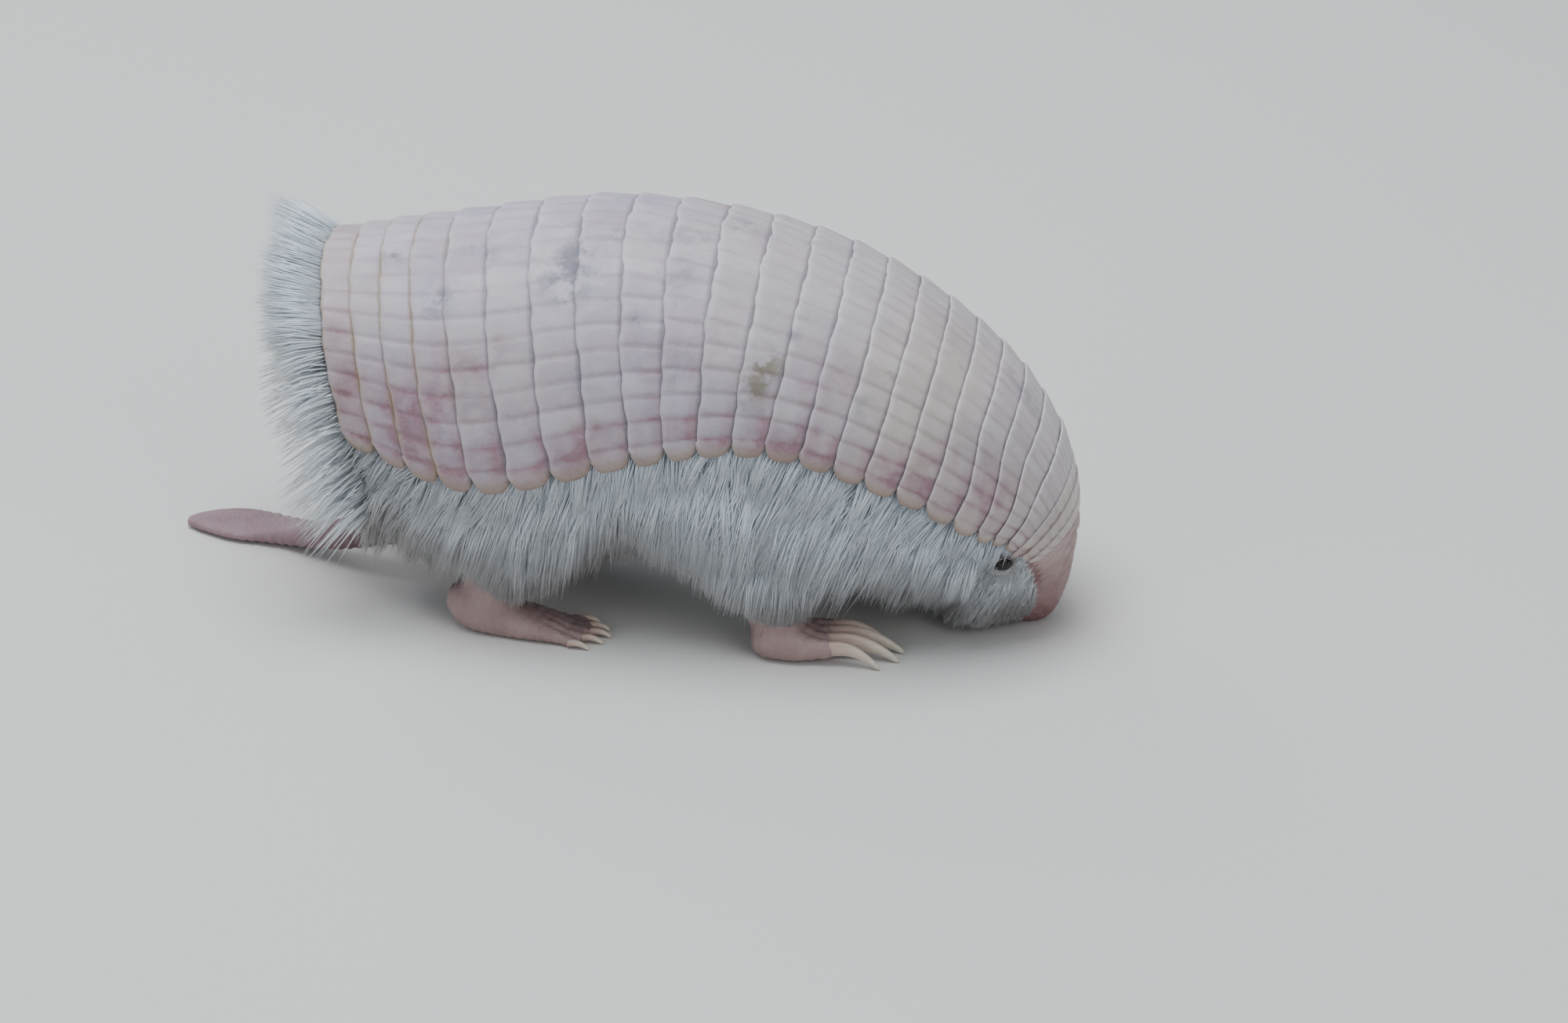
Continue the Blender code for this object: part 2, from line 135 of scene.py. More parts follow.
# ---- The shell's bands: 22 hoops of horny scutes over pink skin. Each hoop's rear edge is a thin free
# lip that stands over the hoop behind it, and each hoop ends low on the flank in a rounded lobe.

# station, crest x z, keel x z, share of the way down at which the section is widest,
# half width of the shell there, half width of the coat under it (millimetres)
STATIONS = np.array([
    (0.0, -37.5, 46.4, -27.5, 4.5, 0.42, 17.0, 16.6),
    (4.0, -21.7, 49.5, -12.7, 7.0, 0.56, 20.8, 21.4),
    (8.0, 0.8, 52.9, 5.7, 9.3, 0.51, 21.4, 21.6),
    (12.0, 23.4, 48.9, 15.9, 8.5, 0.40, 22.2, 22.9),
    (16.0, 40.7, 40.7, 29.2, 5.8, 0.40, 19.8, 20.6),
    (20.0, 53.0, 29.2, 38.5, 3.4, 0.40, 15.3, 15.0),
    (22.0, 56.9, 21.6, 39.8, 3.2, 0.34, 12.4, 12.6),
    (23.4, 58.1, 15.6, 40.0, 2.4, 0.38, 10.2, 11.6),
    (24.4, 57.9, 11.5, 40.6, 1.8, 0.52, 8.8, 10.6),
    (25.5, 57.4, 7.0, 42.0, 1.2, 0.58, 6.8, 8.8),
    (26.4, 56.6, 3.8, 45.0, 0.8, 0.58, 4.8, 6.2),
    (27.1, 55.4, 1.0, 49.2, 0.5, 0.50, 2.9, 3.4),
    (27.5, 54.6, 0.0, 50.6, 0.0, 0.50, 2.1, 2.1),
])
ARCH_POWER = 2.15               # 2 is an ellipse, more is squarer


def smooth_rows(table, places):
    """A table's columns at places along its first column: a cubic curve through its rows."""
    keys = table[:, 0]
    slopes = np.gradient(table[:, 1:], keys, axis=0)
    low = np.clip(np.searchsorted(keys, places) - 1, 0, len(keys) - 2)
    span = (keys[low + 1] - keys[low])[..., None]
    t = (np.asarray(places, float) - keys[low])[..., None] / span
    start = (1 + 2 * t) * (1 - t) ** 2 * table[low, 1:] + t * (1 - t) ** 2 * span * slopes[low]
    end = t * t * (3 - 2 * t) * table[low + 1, 1:] + t * t * (t - 1) * span * slopes[low + 1]
    return start + end


def section(station):
    """Crest, widest level and keel as (x, z), then the half widths of shell and coat, in metres."""
    values = smooth_rows(STATIONS, station)
    crest, keel = values[..., 0:2] * MM, values[..., 2:4] * MM
    level = crest + values[..., 4:5] * (keel - crest)
    return crest, level, keel, values[..., 5] * MM, values[..., 6] * MM


def power(value):
    """Superellipse share of a cosine or sine: its size to the power 2 / ARCH_POWER, with its sign."""
    return np.sign(value) * np.abs(value) ** (2 / ARCH_POWER)


def arch(station, angle, lift):
    """Shell points: an upright half superellipse from the crest (angle 0) to the widest level (90
    degrees, left positive), grown outward by lift."""
    station, angle, lift = np.broadcast_arrays(station, angle, lift)
    crest, level, _, half, _ = section(station)
    rise = np.linalg.norm(crest - level, axis=-1)
    up = (crest - level) / rise[..., None]
    along = power(np.cos(angle)) * (rise + lift)
    place = level + up * along[..., None]
    return np.stack((place[..., 0], power(np.sin(angle)) * (half + lift), place[..., 1]), axis=-1)


def low_side(station, angle, grow):
    """Coat points under the shell: the section's lower half, from the widest level to the keel."""
    station, angle, grow = np.broadcast_arrays(station, angle, grow)
    _, level, keel, _, half = section(station)
    fall = np.linalg.norm(keel - level, axis=-1)
    down = (keel - level) / fall[..., None]
    along = -power(np.cos(angle)) * (fall + grow)
    place = level + down * along[..., None]
    return np.stack((place[..., 0], power(np.sin(angle)) * (half + grow), place[..., 1]), axis=-1)


def step(low, high, value):
    """Smooth step: 0 below low, 1 above high, an S curve between."""
    t = np.clip((value - low) / (high - low), 0, 1)
    return t * t * (3 - 2 * t)


def bell(value, width):
    """Bell curve: 1 where the value is 0, and down to about a third at the width."""
    return np.exp(-(value / width) ** 2)


def add_piece(name, mesh):
    """A finished piece: its place is in its mesh, and it rides on the one body."""
    piece = bpy.data.objects.new(name, mesh)
    bpy.context.scene.collection.objects.link(piece)
    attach(piece, "root")
    return piece


def add_mesh(name, points, faces, material):
    """A smooth piece from points and the faces between them."""
    mesh = bpy.data.meshes.new(name)
    mesh.from_pydata(points.reshape(-1, 3), [], faces)
    mesh.materials.append(material)
    mesh.shade_smooth()
    return add_piece(name, mesh)


def plate_faces(rows, columns):
    """Quads of a closed plate: an outer grid, an inner grid turned over, a strip round their rims."""
    index = np.arange(rows * columns).reshape(rows, columns)
    corners = (index[:-1, :-1], index[1:, :-1], index[1:, 1:], index[:-1, 1:])
    outer = np.stack(corners, axis=-1).reshape(-1, 4)
    inner = outer[:, ::-1] + rows * columns
    rim = np.concatenate((index[:-1, 0], index[-1, :-1], index[:0:-1, -1], index[0, :0:-1]))
    after = np.roll(rim, -1)
    strip = np.stack((after, rim, rim + rows * columns, after + rows * columns), axis=-1)
    return np.concatenate((outer, inner, strip))


def add_plate(name, outer, inner, uv, material):
    """A closed plate between two grids of points. Its UV map counts scutes: u along, v across."""
    rows, columns = outer.shape[:2]
    faces = plate_faces(rows, columns)
    piece = add_mesh(name, np.concatenate((outer.reshape(-1, 3), inner.reshape(-1, 3))), faces,
                     material)
    flat = np.concatenate((uv.reshape(-1, 2), uv.reshape(-1, 2)))
    layer = piece.data.uv_layers.new(name="Scutes")
    layer.uv.foreach_set("vector", flat[faces.ravel()].astype(np.float32).ravel())
    return piece


class Nodes:
    """The nodes of one material or group: each call adds one, feeds it and gives back what it puts out."""

    def __init__(self, tree):
        self.tree = tree

    def feed(self, socket, value):
        """Link a socket to another, or set it to a number, a vector or the colour of a hex code."""
        if isinstance(value, bpy.types.NodeSocket):
            self.tree.links.new(value, socket)
        else:
            socket.default_value = (*paint(value), 1.0) if isinstance(value, str) else value

    def add(self, kind, inputs=(), **settings):
        """A node of a kind, with its settings and a value or a link for each of the inputs given."""
        node = self.tree.nodes.new(f"ShaderNode{kind}")
        for name, value in settings.items():
            setattr(node, name, value)
        for name, value in dict(inputs).items():
            self.feed(node.inputs[name], value)
        return node

    def place(self):
        """Where a point is on the object, in metres."""
        return self.add("TexCoord").outputs["Object"]

    def read(self, name):
        """A number that the piece holds at each of its points."""
        return self.add("Attribute", attribute_name=name).outputs["Fac"]

    def math(self, operation, *values, clamp=False):
        return self.add("Math", enumerate(values), operation=operation, use_clamp=clamp).outputs[0]

    def times(self, first, second, clamp=False):
        return self.math("MULTIPLY", first, second, clamp=clamp)

    def plus(self, first, second, clamp=False):
        return self.math("ADD", first, second, clamp=clamp)

    def line(self, value, gain, start, clamp=False):
        """start + gain * value"""
        return self.math("MULTIPLY_ADD", value, gain, start, clamp=clamp)

    def blend(self, factor, first, second, mode="MIX"):
        """A colour between two, or the first one multiplied by the second."""
        inputs = {0: factor, 6: first, 7: second}
        return self.add("Mix", inputs, data_type="RGBA", blend_type=mode).outputs[2]

    def noise(self, place, scale, detail, roughness=0.5):
        inputs = {"Vector": place, "Scale": scale, "Detail": detail, "Roughness": roughness}
        return self.add("TexNoise", inputs).outputs["Fac"]

    def ramp(self, value, low, high, curve="SMOOTHSTEP"):
        """0 at low, 1 at high, and an S curve or a straight line between."""
        inputs = {"Value": value, "From Min": low, "From Max": high}
        return self.add("MapRange", inputs, interpolation_type=curve).outputs["Result"]

    def relief(self, shader, height, distance, strength=1.0):
        """Bump on a shader: distance is how high a height of 1 stands, in metres."""
        bump = self.add("Bump", {"Height": height, "Distance": distance, "Strength": strength})
        self.feed(shader.inputs["Normal"], bump.outputs["Normal"])


def new_group(name, takes, gives):
    """An empty shader group with the sockets it takes and gives, as name: kind, and both ends of it."""
    group = bpy.data.node_groups.new(name, "ShaderNodeTree")
    for way, sockets in (("INPUT", takes), ("OUTPUT", gives)):
        for socket, kind in sockets.items():
            group.interface.new_socket(socket, in_out=way, socket_type=f"NodeSocket{kind}")
    return group, group.nodes.new("NodeGroupInput").outputs, group.nodes.new("NodeGroupOutput").inputs


CREAM_HORN, WORN_HORN, LIP_RIM_AND_HIGHLIGHT, BLOOM = "#c9beb2", "#d8d0d6", "#e6dee2", "#d9d2d2"
SEAM_SHADOW_SLATE, SEAM_OCHRE, OCHRE_LIP = "#6c6670", "#9a8258", "#a18a62"
SMUDGE_GREY, STAIN_OCHRE, GROOVE_DUST = "#6f717d", "#6d6550", "#8c8078"
HORN_RELIEF = 0.10 * MM


def horn_group():
    """Shader group for horny scutes: colour, roughness and height from the plate's own scute map.

    Its UV's whole numbers number the scutes and their fractions run across each one. A white noise by
    number tints each scute, grooves darken to rose, large noise adds rose blushes and grey dirt.
    """
    takes = {"Pale": "Color", "Rose": "Color", "Tan": "Color", "Blush": "Float", "Dirt": "Float",
             "Seam": "Float"}
    group, given, out = new_group("horn_scutes", takes,
                                  {"Color": "Color", "Roughness": "Float", "Height": "Float"})
    nodes = Nodes(group)
    blend, times, plus, line, ramp = nodes.blend, nodes.times, nodes.plus, nodes.line, nodes.ramp
    place = nodes.place()

    def noise(scale, detail, roughness=0.55):
        return nodes.noise(place, scale, detail, roughness)

    scutes = nodes.add("UVMap", uv_map="Scutes").outputs["UV"]
    split = nodes.add("SeparateXYZ", {0: scutes}).outputs
    along, across = split["X"], split["Y"]
    number = nodes.add("VectorMath", {0: scutes}, operation="FLOOR").outputs[0]
    chance = nodes.add("TexWhiteNoise", {"Vector": number}, noise_dimensions="2D").outputs["Color"]
    shares = nodes.add("SeparateColor", {0: chance}).outputs
    low_end, lip = nodes.read("low_end"), nodes.read("lip")

    wobble = times(nodes.math("SUBTRACT", noise(900, 2), 0.5), 0.16)
    fraction = nodes.math("FRACT", plus(across, wobble))
    off_middle = nodes.math("ABSOLUTE", nodes.math("SUBTRACT", fraction, 0.5))
    groove = ramp(off_middle, 0.30, 0.5)
    step_on = nodes.math("FRACT", along)
    front = ramp(step_on, 0.42, 0.88)
    # Painted shadow along each seam, just before the next band's lip.
    seam_shadow_and_ochre = times(ramp(step_on, 0.76, 0.88), ramp(step_on, 0.999, 0.99))
    large, medium, fine = noise(70, 3), noise(330, 4), noise(1900, 5, 0.65)

    # Rose: the front of each scute, its grooves, and blushes, strongest in the row above the lobes.
    blush = times(ramp(large, 0.44, 0.66), given["Blush"])
    low_row = ramp(low_end, 0.45, 0.85)
    above_lobes = times(ramp(low_end, 0.79, 0.86), ramp(low_end, 0.965, 0.93))
    by_chance = ramp(shares[0], 0.35, 1.0)
    spot = times(times(above_lobes, line(front, 0.65, 0.35)), plus(by_chance, 0.5))
    rose = plus(times(groove, line(low_row, 0.24, 0.05)), times(front, line(low_row, 0.22, 0.06)))
    rose = plus(rose, times(blush, line(low_row, 0.60, 0.24)))
    rose = plus(rose, times(by_chance, line(low_row, 0.20, 0.05)))
    rose = plus(rose, times(spot, 0.80))
    rose = plus(rose, times(nodes.read("rosy"), line(groove, 0.30, 0.45)))
    rose = times(rose, ramp(medium, 0.05, 0.60), clamp=True)
    # Towards the head, and in patches elsewhere, the pale horn is cream where it is lilac behind.
    forward = nodes.add("SeparateXYZ", {0: place}).outputs["X"]
    cream = line(ramp(forward, 0.005, 0.045), 0.50, times(ramp(noise(48, 3), 0.36, 0.62), 0.35))
    colour = blend(rose, blend(cream, given["Pale"], CREAM_HORN), given["Rose"])
    # Each scute's own tint and pale worn middle, tan horn round the lobes, and along the lip a pale rim
    # that is partly a painted highlight.
    colour = blend(1.0, colour, line(shares[1], 0.12, 0.92), "MULTIPLY")
    worn = times(ramp(off_middle, 0.42, 0.15), ramp(medium, 0.42, 0.66))
    colour = blend(times(worn, 0.30), colour, WORN_HORN)
    colour = blend(times(ramp(low_end, 0.915, 0.990), 0.80), colour, given["Tan"])
    colour = blend(times(lip, 0.45), colour, LIP_RIM_AND_HIGHLIGHT)
    # A painted shadow darkens the seams under each lip to slate, and between the hindmost bands the seams
    # are ochre stains instead.
    hindmost = times(ramp(along, 4.6, 2.6), ramp(medium, 0.30, 0.55))
    colour = blend(times(hindmost, times(lip, 0.75)), colour, OCHRE_LIP)
    colour = blend(times(seam_shadow_and_ochre, given["Seam"]), colour, blend(hindmost, SEAM_SHADOW_SLATE, SEAM_OCHRE))
    # Painted shade: the horn darkens down the flank, where less light falls from above, and is softly
    # mottled all over.
    flank_shade = line(ramp(low_end, 0.12, 0.62), -0.17, 0.85)
    colour = blend(1.0, colour, line(noise(190, 3), 0.24, flank_shade), "MULTIPLY")
    # Dirt: blue-grey smudges and ochre stains, where the piece is marked and thinly elsewhere.
    smudge = times(ramp(noise(110, 5, 0.6), 0.60, 0.72), given["Dirt"])
    marked = times(nodes.read("grey"), ramp(noise(420, 5, 0.7), 0.40, 0.58))
    smudge = plus(times(smudge, 0.6), marked, clamp=True)
    colour = blend(times(smudge, 0.78), colour, SMUDGE_GREY)
    stain = times(ramp(noise(95, 4, 0.7), 0.66, 0.74), given["Dirt"])
    marked = times(nodes.read("ochre"), ramp(medium, 0.44, 0.56))
    stain = plus(times(stain, 0.4), marked, clamp=True)
    colour = blend(times(stain, 0.85), colour, STAIN_OCHRE)
    colour = blend(times(times(groove, ramp(medium, 0.45, 0.7)), 0.22), colour, GROOVE_DUST)
    colour = blend(times(ramp(fine, 0.35, 0.75), 0.10), colour, BLOOM)
    nodes.feed(out["Color"], colour)
    nodes.feed(out["Roughness"], plus(plus(times(fine, 0.22), times(smudge, 0.25)), 0.38))
    height = plus(times(fine, 0.5), times(medium, 0.7))
    nodes.feed(out["Height"], nodes.math("SUBTRACT", height, times(groove, 0.5)))
    return group


HORN_SCUTES = horn_group()


def horn_material(name, pale, rose, tan, blush, dirt, seam_shadow_and_ochre):
    """Satin horn with light that enters a little way."""
    made, shader = new_material(name, {
        "Base Color": pale, "Roughness": 0.5, "Subsurface Weight": 0.15,
        "Subsurface Radius": (1.0, 0.6, 0.5), "Subsurface Scale": 0.0012})
    nodes = Nodes(made.node_tree)
    values = {"Pale": pale, "Rose": rose, "Tan": tan, "Blush": blush, "Dirt": dirt, "Seam": seam_shadow_and_ochre}
    pattern = nodes.add("Group", values, node_tree=HORN_SCUTES).outputs
    nodes.feed(shader.inputs["Base Color"], pattern["Color"])
    nodes.feed(shader.inputs["Roughness"], pattern["Roughness"])
    nodes.relief(shader, pattern["Height"], HORN_RELIEF)
    return made


def mark(piece, name, values):
    """A number at each point of a piece that its material reads."""
    layer = piece.data.attributes.new(name, "FLOAT", "POINT")
    layer.data.foreach_set("value", np.asarray(values, np.float32).ravel())


BAND_COUNT = 22
SHELL_REACH = math.radians(96)  # the lobes' tips, measured from the crest
LOBE_BITE = 1.7 * MM            # how far the corners between two lobes are cut back
LIP = 0.42 * MM                 # how far a rear edge stands over the band behind
LIP_THICK = 0.28 * MM
BAND_THICK = 1.0 * MM
TUCK = 0.13                     # how far a band's front runs under the next lip, in stations
SCUTES_ROUND = 24               # scutes in a band from one lobe to the other
BAND_ROWS, BAND_COLUMNS = 14, 193
shell_chance = np.random.default_rng(7)

BAND_HORN = horn_material("band_horn", "#beb7c8", "#97707f", "#9a8675", 1.0, 0.9, 0.66)
REAR_BAND_HORN = horn_material("rear_band_horn", "#b8a5b2", "#8a606b", "#94806a", 1.0, 0.6, 0.66)


def even_angles(station, reach, shares):
    """Angles at which an arch's outline, measured along itself, has covered the given shares of its
    length from the crest (0) to the reach (1), and that length."""
    fine = np.linspace(0, reach, 200)
    line = arch(station, fine, 0.0)
    run = np.concatenate(([0], np.cumsum(np.linalg.norm(np.diff(line, axis=0), axis=1))))
    return np.interp(np.abs(shares) * run[-1], run, fine) * np.sign(shares), run[-1]


def lean(station, angle):
    """Stations moved towards the head low on the flank, where the front bands are broader than on top."""
    shift = np.interp(station, (15, 16.5, 17.5, 18.5, 19.5, 20.5, 21.5, 22),
                      (0, 0.16, 0.36, 0.60, 0.68, 0.42, 0.15, 0))
    return station + shift * step(math.radians(38), math.radians(82), np.abs(angle))


def band_surface(number):
    """Outer and inner grids of one band.

    Along it, t runs from the free rear lip (0) to the front edge tucked under the next lip (1). Across
    it, v runs from the right lobe (-1) to the left (1), evenly along the outline. The lip's height falls
    off with t, grooves and pillows of the scutes go up and down with v, and the last scute at each end
    closes in to a blunt round lobe.
    """
    t = np.linspace(0, 1, BAND_ROWS)[:, None] ** 1.15
    v = np.linspace(-1, 1, BAND_COLUMNS)[None, :]
    last = step(1 - 2.4 / SCUTES_ROUND, 1.0, np.abs(v)) ** 1.5
    round_off = np.abs(2 * np.clip(t / 0.92, 0, 1) - 1) ** 3.4
    angle, run = even_angles(number + 0.5, SHELL_REACH, v)
    angle = angle - np.sign(v) * LOBE_BITE / run * SHELL_REACH * round_off * last
    scute = (v + 1) / 2 * SCUTES_ROUND
    offset = np.abs(scute - np.round(scute))
    calm = 0.36 + 0.64 * step(0.15, 0.75, np.abs(v))
    groove = bell(offset, 0.14) * calm * step(1.0, 0.985, np.abs(v))
    pillow = (1 - (1 - 2 * offset) ** 3) * calm
    hump = step(0.0, 0.12, t) * step(0.95, 0.75, t)
    lift = LIP * (1 - t) ** 1.3 - 0.14 * MM * np.exp(-t / 0.045) - 0.15 * MM * step(0.88, 1.0, t)
    lift = lift - 0.070 * MM * groove * (0.25 + 0.75 * hump) + 0.08 * MM * pillow * hump
    tilt = shell_chance.normal(0, 0.03 * MM, SCUTES_ROUND)
    whole = np.clip(scute.astype(int), 0, SCUTES_ROUND - 1)
    lift = lift + tilt[whole] * (1 - bell(offset, 0.12))
    lift = lift - 0.25 * MM * step(0.93, 1.0, np.abs(v)) ** 3
    waver = 0.030 * np.sin(v * 13 + number * 2.4) + 0.020 * np.sin(v * 37 + number * 1.7)
    waver = (waver + 0.010 * np.sin(v * 83 + number)) * np.interp(number, (10, 17), (1.0, 0.35))
    station = lean(number + t * (1 + TUCK) + waver * (1 - t), angle)
    outer = arch(station, angle, lift)
    depth = LIP_THICK + (BAND_THICK - LIP_THICK) * step(0.0, 0.35, t) * step(1.02, 0.85, np.abs(v))
    inner = arch(station, angle, lift - depth)
    uv = np.stack((number + t + 0 * v, scute + 0 * t), axis=-1)
    return outer, inner, uv, np.abs(v) + 0 * t, np.exp(-t / 0.07) + 0 * v


# x, y, z, radius (millimetres) of the marks that wear and soil have left on this one animal
GREY_SMUDGES = np.array(((-5.9, -12.3, 48.7, 3.6), (-5.0, -8.6, 50.6, 2.6), (-21.5, -12.6, 45.1, 2.2),
                         (3.4, -16.3, 46.0, 1.1), (8.9, -20.2, 40.3, 0.8), (0.0, -5.5, 52.3, 1.3),
                         (-28.5, -5.9, 47.4, 1.6), (22.9, -15.7, 44.6, 0.9), (15.3, 1.0, 51.0, 2.4),
                         (6.0, 13.0, 49.0, 2.6), (-18.0, 17.0, 41.0, 1.8)))
ROSY_MARKS = np.array(((-19.3, -17.6, 39.3, 2.4), (-22.6, -19.5, 32.1, 3.0), (-26.6, -18.5, 33.0, 1.6),
                       (-15.9, -18.3, 39.0, 2.0), (-34.4, -13.4, 40.9, 2.4), (-34.3, -16.5, 33.7, 2.4),
                       (-20.8, -19.1, 35.3, 1.6), (-24.5, -19.3, 28.1, 1.8), (-13.2, -17.2, 41.9, 1.6),
                       (-23.0, 18.8, 33.0, 3.0), (-17.0, 18.0, 39.0, 2.4), (-33.0, 15.0, 38.0, 2.6)))
OCHRE_STAINS = np.array(((19.9, -19.0, 42.4, 2.4), (18.9, -20.4, 39.6, 2.0), (-12.0, 19.0, 40.0, 1.5)))


def soiled(points, marks):
    """How strongly points lie in any of the round marks: a bell curve about each, added up."""
    away = np.linalg.norm(points[:, None] / MM - marks[:, :3], axis=2)
    return bell(away, marks[:, 3]).sum(axis=1)


def read_points(mesh):
    """A mesh's points and the outward direction at each."""
    points, normals = np.empty(len(mesh.vertices) * 3), np.empty(len(mesh.vertices) * 3)
    mesh.vertices.foreach_get("co", points)
    mesh.vertex_normals.foreach_get("vector", normals)
    return points.reshape(-1, 3), normals.reshape(-1, 3)


def mark_horn(piece, low_end, lip):
    """Give a horn plate the numbers its material reads, outer and inner face alike."""
    mark(piece, "low_end", np.concatenate((low_end.ravel(), low_end.ravel())))
    mark(piece, "lip", np.concatenate((lip.ravel(), lip.ravel())))
    points = read_points(piece.data)[0]
    for name, marks in (("grey", GREY_SMUDGES), ("ochre", OCHRE_STAINS), ("rosy", ROSY_MARKS)):
        mark(piece, name, soiled(points, marks))


for band in range(BAND_COUNT):
    outer, inner, uv, low_end, lip = band_surface(band)
    node = f"band_{band + 1:02d}"
    horn = REAR_BAND_HORN if band < 1 else BAND_HORN
    hoop = add_plate(f"horn_{node}", outer, inner, uv, horn)
    mark_horn(hoop, low_end, lip)
    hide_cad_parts(node)


# ---- Head shield: the plates on the brow, in rows that fade into small scutes above the bare nose
# bridge. It is fused to the skull, so only its rear edge stands free like a band's.
SHIELD_START, SHIELD_END = 22.0, 23.45
SHIELD_REACH = math.radians(98)
SHIELD_ROWS, SHIELD_COLUMNS = 46, 181
SHIELD_SCUTE_ROWS = 3.0
SHIELD_SCUTES_ROUND = 16
SHIELD_THICK = 0.8 * MM

SHIELD_HORN = horn_material("shield_horn", "#c6b9ba", "#957170", "#b0a095", 0.6, 0.3, 0.25)


def shield_surface():
    """Outer and inner grids: rows of plates run across the brow, staggered like bricks, in grooves."""
    t = np.linspace(0, 1, SHIELD_ROWS)[:, None]
    v = np.linspace(-1, 1, SHIELD_COLUMNS)[None, :]
    station = SHIELD_START + t * (SHIELD_END - SHIELD_START) + 0 * v
    row = t * SHIELD_SCUTE_ROWS
    round_off = np.abs(2 * (row % 1.0) - 1) ** 3 * step(1.0, 0.8, t)
    narrow = math.radians(10) * step(0.05, 0.5, t) + math.radians(18) * step(0.45, 1.0, t) ** 2
    angle, _ = even_angles(SHIELD_START + 0.7, SHIELD_REACH, v)
    angle = angle * (1 - (narrow + math.radians(4) * round_off) / SHIELD_REACH)
    scute = (v + 1) / 2 * SHIELD_SCUTES_ROUND + 0.5 * (np.floor(row) % 2) + 0 * t
    offset = np.abs(scute - np.round(scute))
    row_offset = np.abs(row - np.round(row)) + 0 * v
    inside = step(1.0, 0.96, np.abs(v)) * step(0.03, 0.10, t) * step(1.0, 0.90, t)
    fade = step(1.0, 0.45, t) * inside
    groove = 0.07 * MM * bell(offset, 0.12) + 0.05 * MM * bell(row_offset, 0.14)
    lift = LIP * 0.6 * (1 - row % 1.0) ** 1.3 * step(1.0, 0.35, t) - 0.16 * MM * np.exp(-t / 0.03)
    lift = lift - groove * fade - 0.55 * MM * step(0.88, 1.0, t) ** 2
    lift = lift - 0.3 * MM * step(0.92, 1.0, np.abs(v)) ** 3
    outer = arch(station, angle, lift)
    inner = arch(station, angle, lift - SHIELD_THICK)
    uv = np.stack((40 + row + 0 * v, scute), axis=-1)
    return outer, inner, uv, np.abs(v) + 0 * t, np.exp(-t / 0.03) + 0 * v


outer, inner, uv, low_end, lip = shield_surface()
shield = add_plate("horn_head_shield", outer, inner, uv, SHIELD_HORN)
mark_horn(shield, low_end * 0.92, lip)
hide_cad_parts("head_shield")


# ---- Rump plate: the flat bony shield that closes the animal's rear. Its scutes lie in arcs round the
# notch where the tail comes out, and it is fused to the pelvis, so it does not move against the body.
PLATE_INSET = 4.4 * MM          # the gap round it, from which the fringe grows
PLATE_FALL = 15.0 * MM          # from the widest level down to its lowest edge
PLATE_DOME = 2.2 * MM
PLATE_BACK = 1.2 * MM           # how far its edge stands behind the shell's rear rim
PLATE_RINGS, PLATE_TURNS = 44, 168
SCUTE_ARC = 2.7 * MM            # from one arc of scutes to the next

RUMP_HORN = horn_material("rump_horn", "#c4b2b2", "#a0706f", "#a2907f", 0.7, 0.7, 0.5)
rim_crest, rim_level = section(0.0)[:2]
rim_up = np.array((rim_crest[0] - rim_level[0], 0, rim_crest[1] - rim_level[1]))
rim_up /= np.linalg.norm(rim_up)
rim_back = np.array((-rim_up[2], 0, rim_up[0]))
rim_middle = np.array((rim_level[0], 0, rim_level[1]))


def loft_faces(rings, turns):
    """Quads of a tube of rings, each closed on itself, with a many-sided cap at either end."""
    index = np.arange(rings * turns).reshape(rings, turns)
    after = np.roll(index, -1, axis=1)
    quads = np.stack((index[:-1], after[:-1], after[1:], index[1:]), axis=-1).reshape(-1, 4)
    return quads.tolist() + [index[0, ::-1].tolist(), index[-1].tolist()]


def rump_surface():
    """Rings from the hidden back, out round the rounded edge, and in over the dome to its middle.

    The outline is the shell's arch drawn in by an inset above the widest level and half an ellipse
    below it. The dome stands highest in the middle, and grooves between scutes are cut into it by
    distance from the tail notch and by angle about it.
    """
    inward = np.sin(np.linspace(1, 0.02, PLATE_RINGS) * math.pi / 2)
    size = np.concatenate(((0.9, 1.0, 1.0), inward))[:, None]
    angle = np.linspace(-math.pi, math.pi, PLATE_TURNS, endpoint=False)[None, :]
    above = arch(0.0, np.clip(angle, -math.pi / 2, math.pi / 2), -PLATE_INSET)
    below = rim_middle + rim_up * (PLATE_FALL * np.cos(angle))[..., None]
    below[..., 1] = arch(0.0, np.sign(angle) * math.pi / 2, -PLATE_INSET)[..., 1] * np.abs(np.sin(angle))
    rim = np.where((np.cos(angle) >= 0)[..., None], above, below)
    flat = rim_middle + (rim - rim_middle) * size[..., None]
    across = flat[..., 1]
    height = (flat - rim_middle) @ rim_up + PLATE_FALL * 0.92
    arc = np.hypot(across, height) / SCUTE_ARC
    turn = np.arctan2(across, height) * (2.0 * np.floor(arc) + 3.0) / 2.0 + 0.5 * np.floor(arc)
    off_arc, off_turn = np.abs(arc - np.round(arc)), np.abs(turn - np.round(turn))
    groove = np.maximum(bell(off_arc, 0.08), bell(off_turn, 0.08))
    back = PLATE_BACK + PLATE_DOME * (1 - size ** 2) - 0.5 * MM * step(0.93, 1.0, size)
    back = back - 0.14 * MM * groove * step(1.0, 0.95, size)
    back[:3] = np.array((0.3, 0.3, 0.5))[:, None] * MM + 0 * back[:3]
    points = flat + rim_back * back[..., None]
    return points[:, ::-1], np.stack((arc + 70, turn), axis=-1)[:, ::-1]


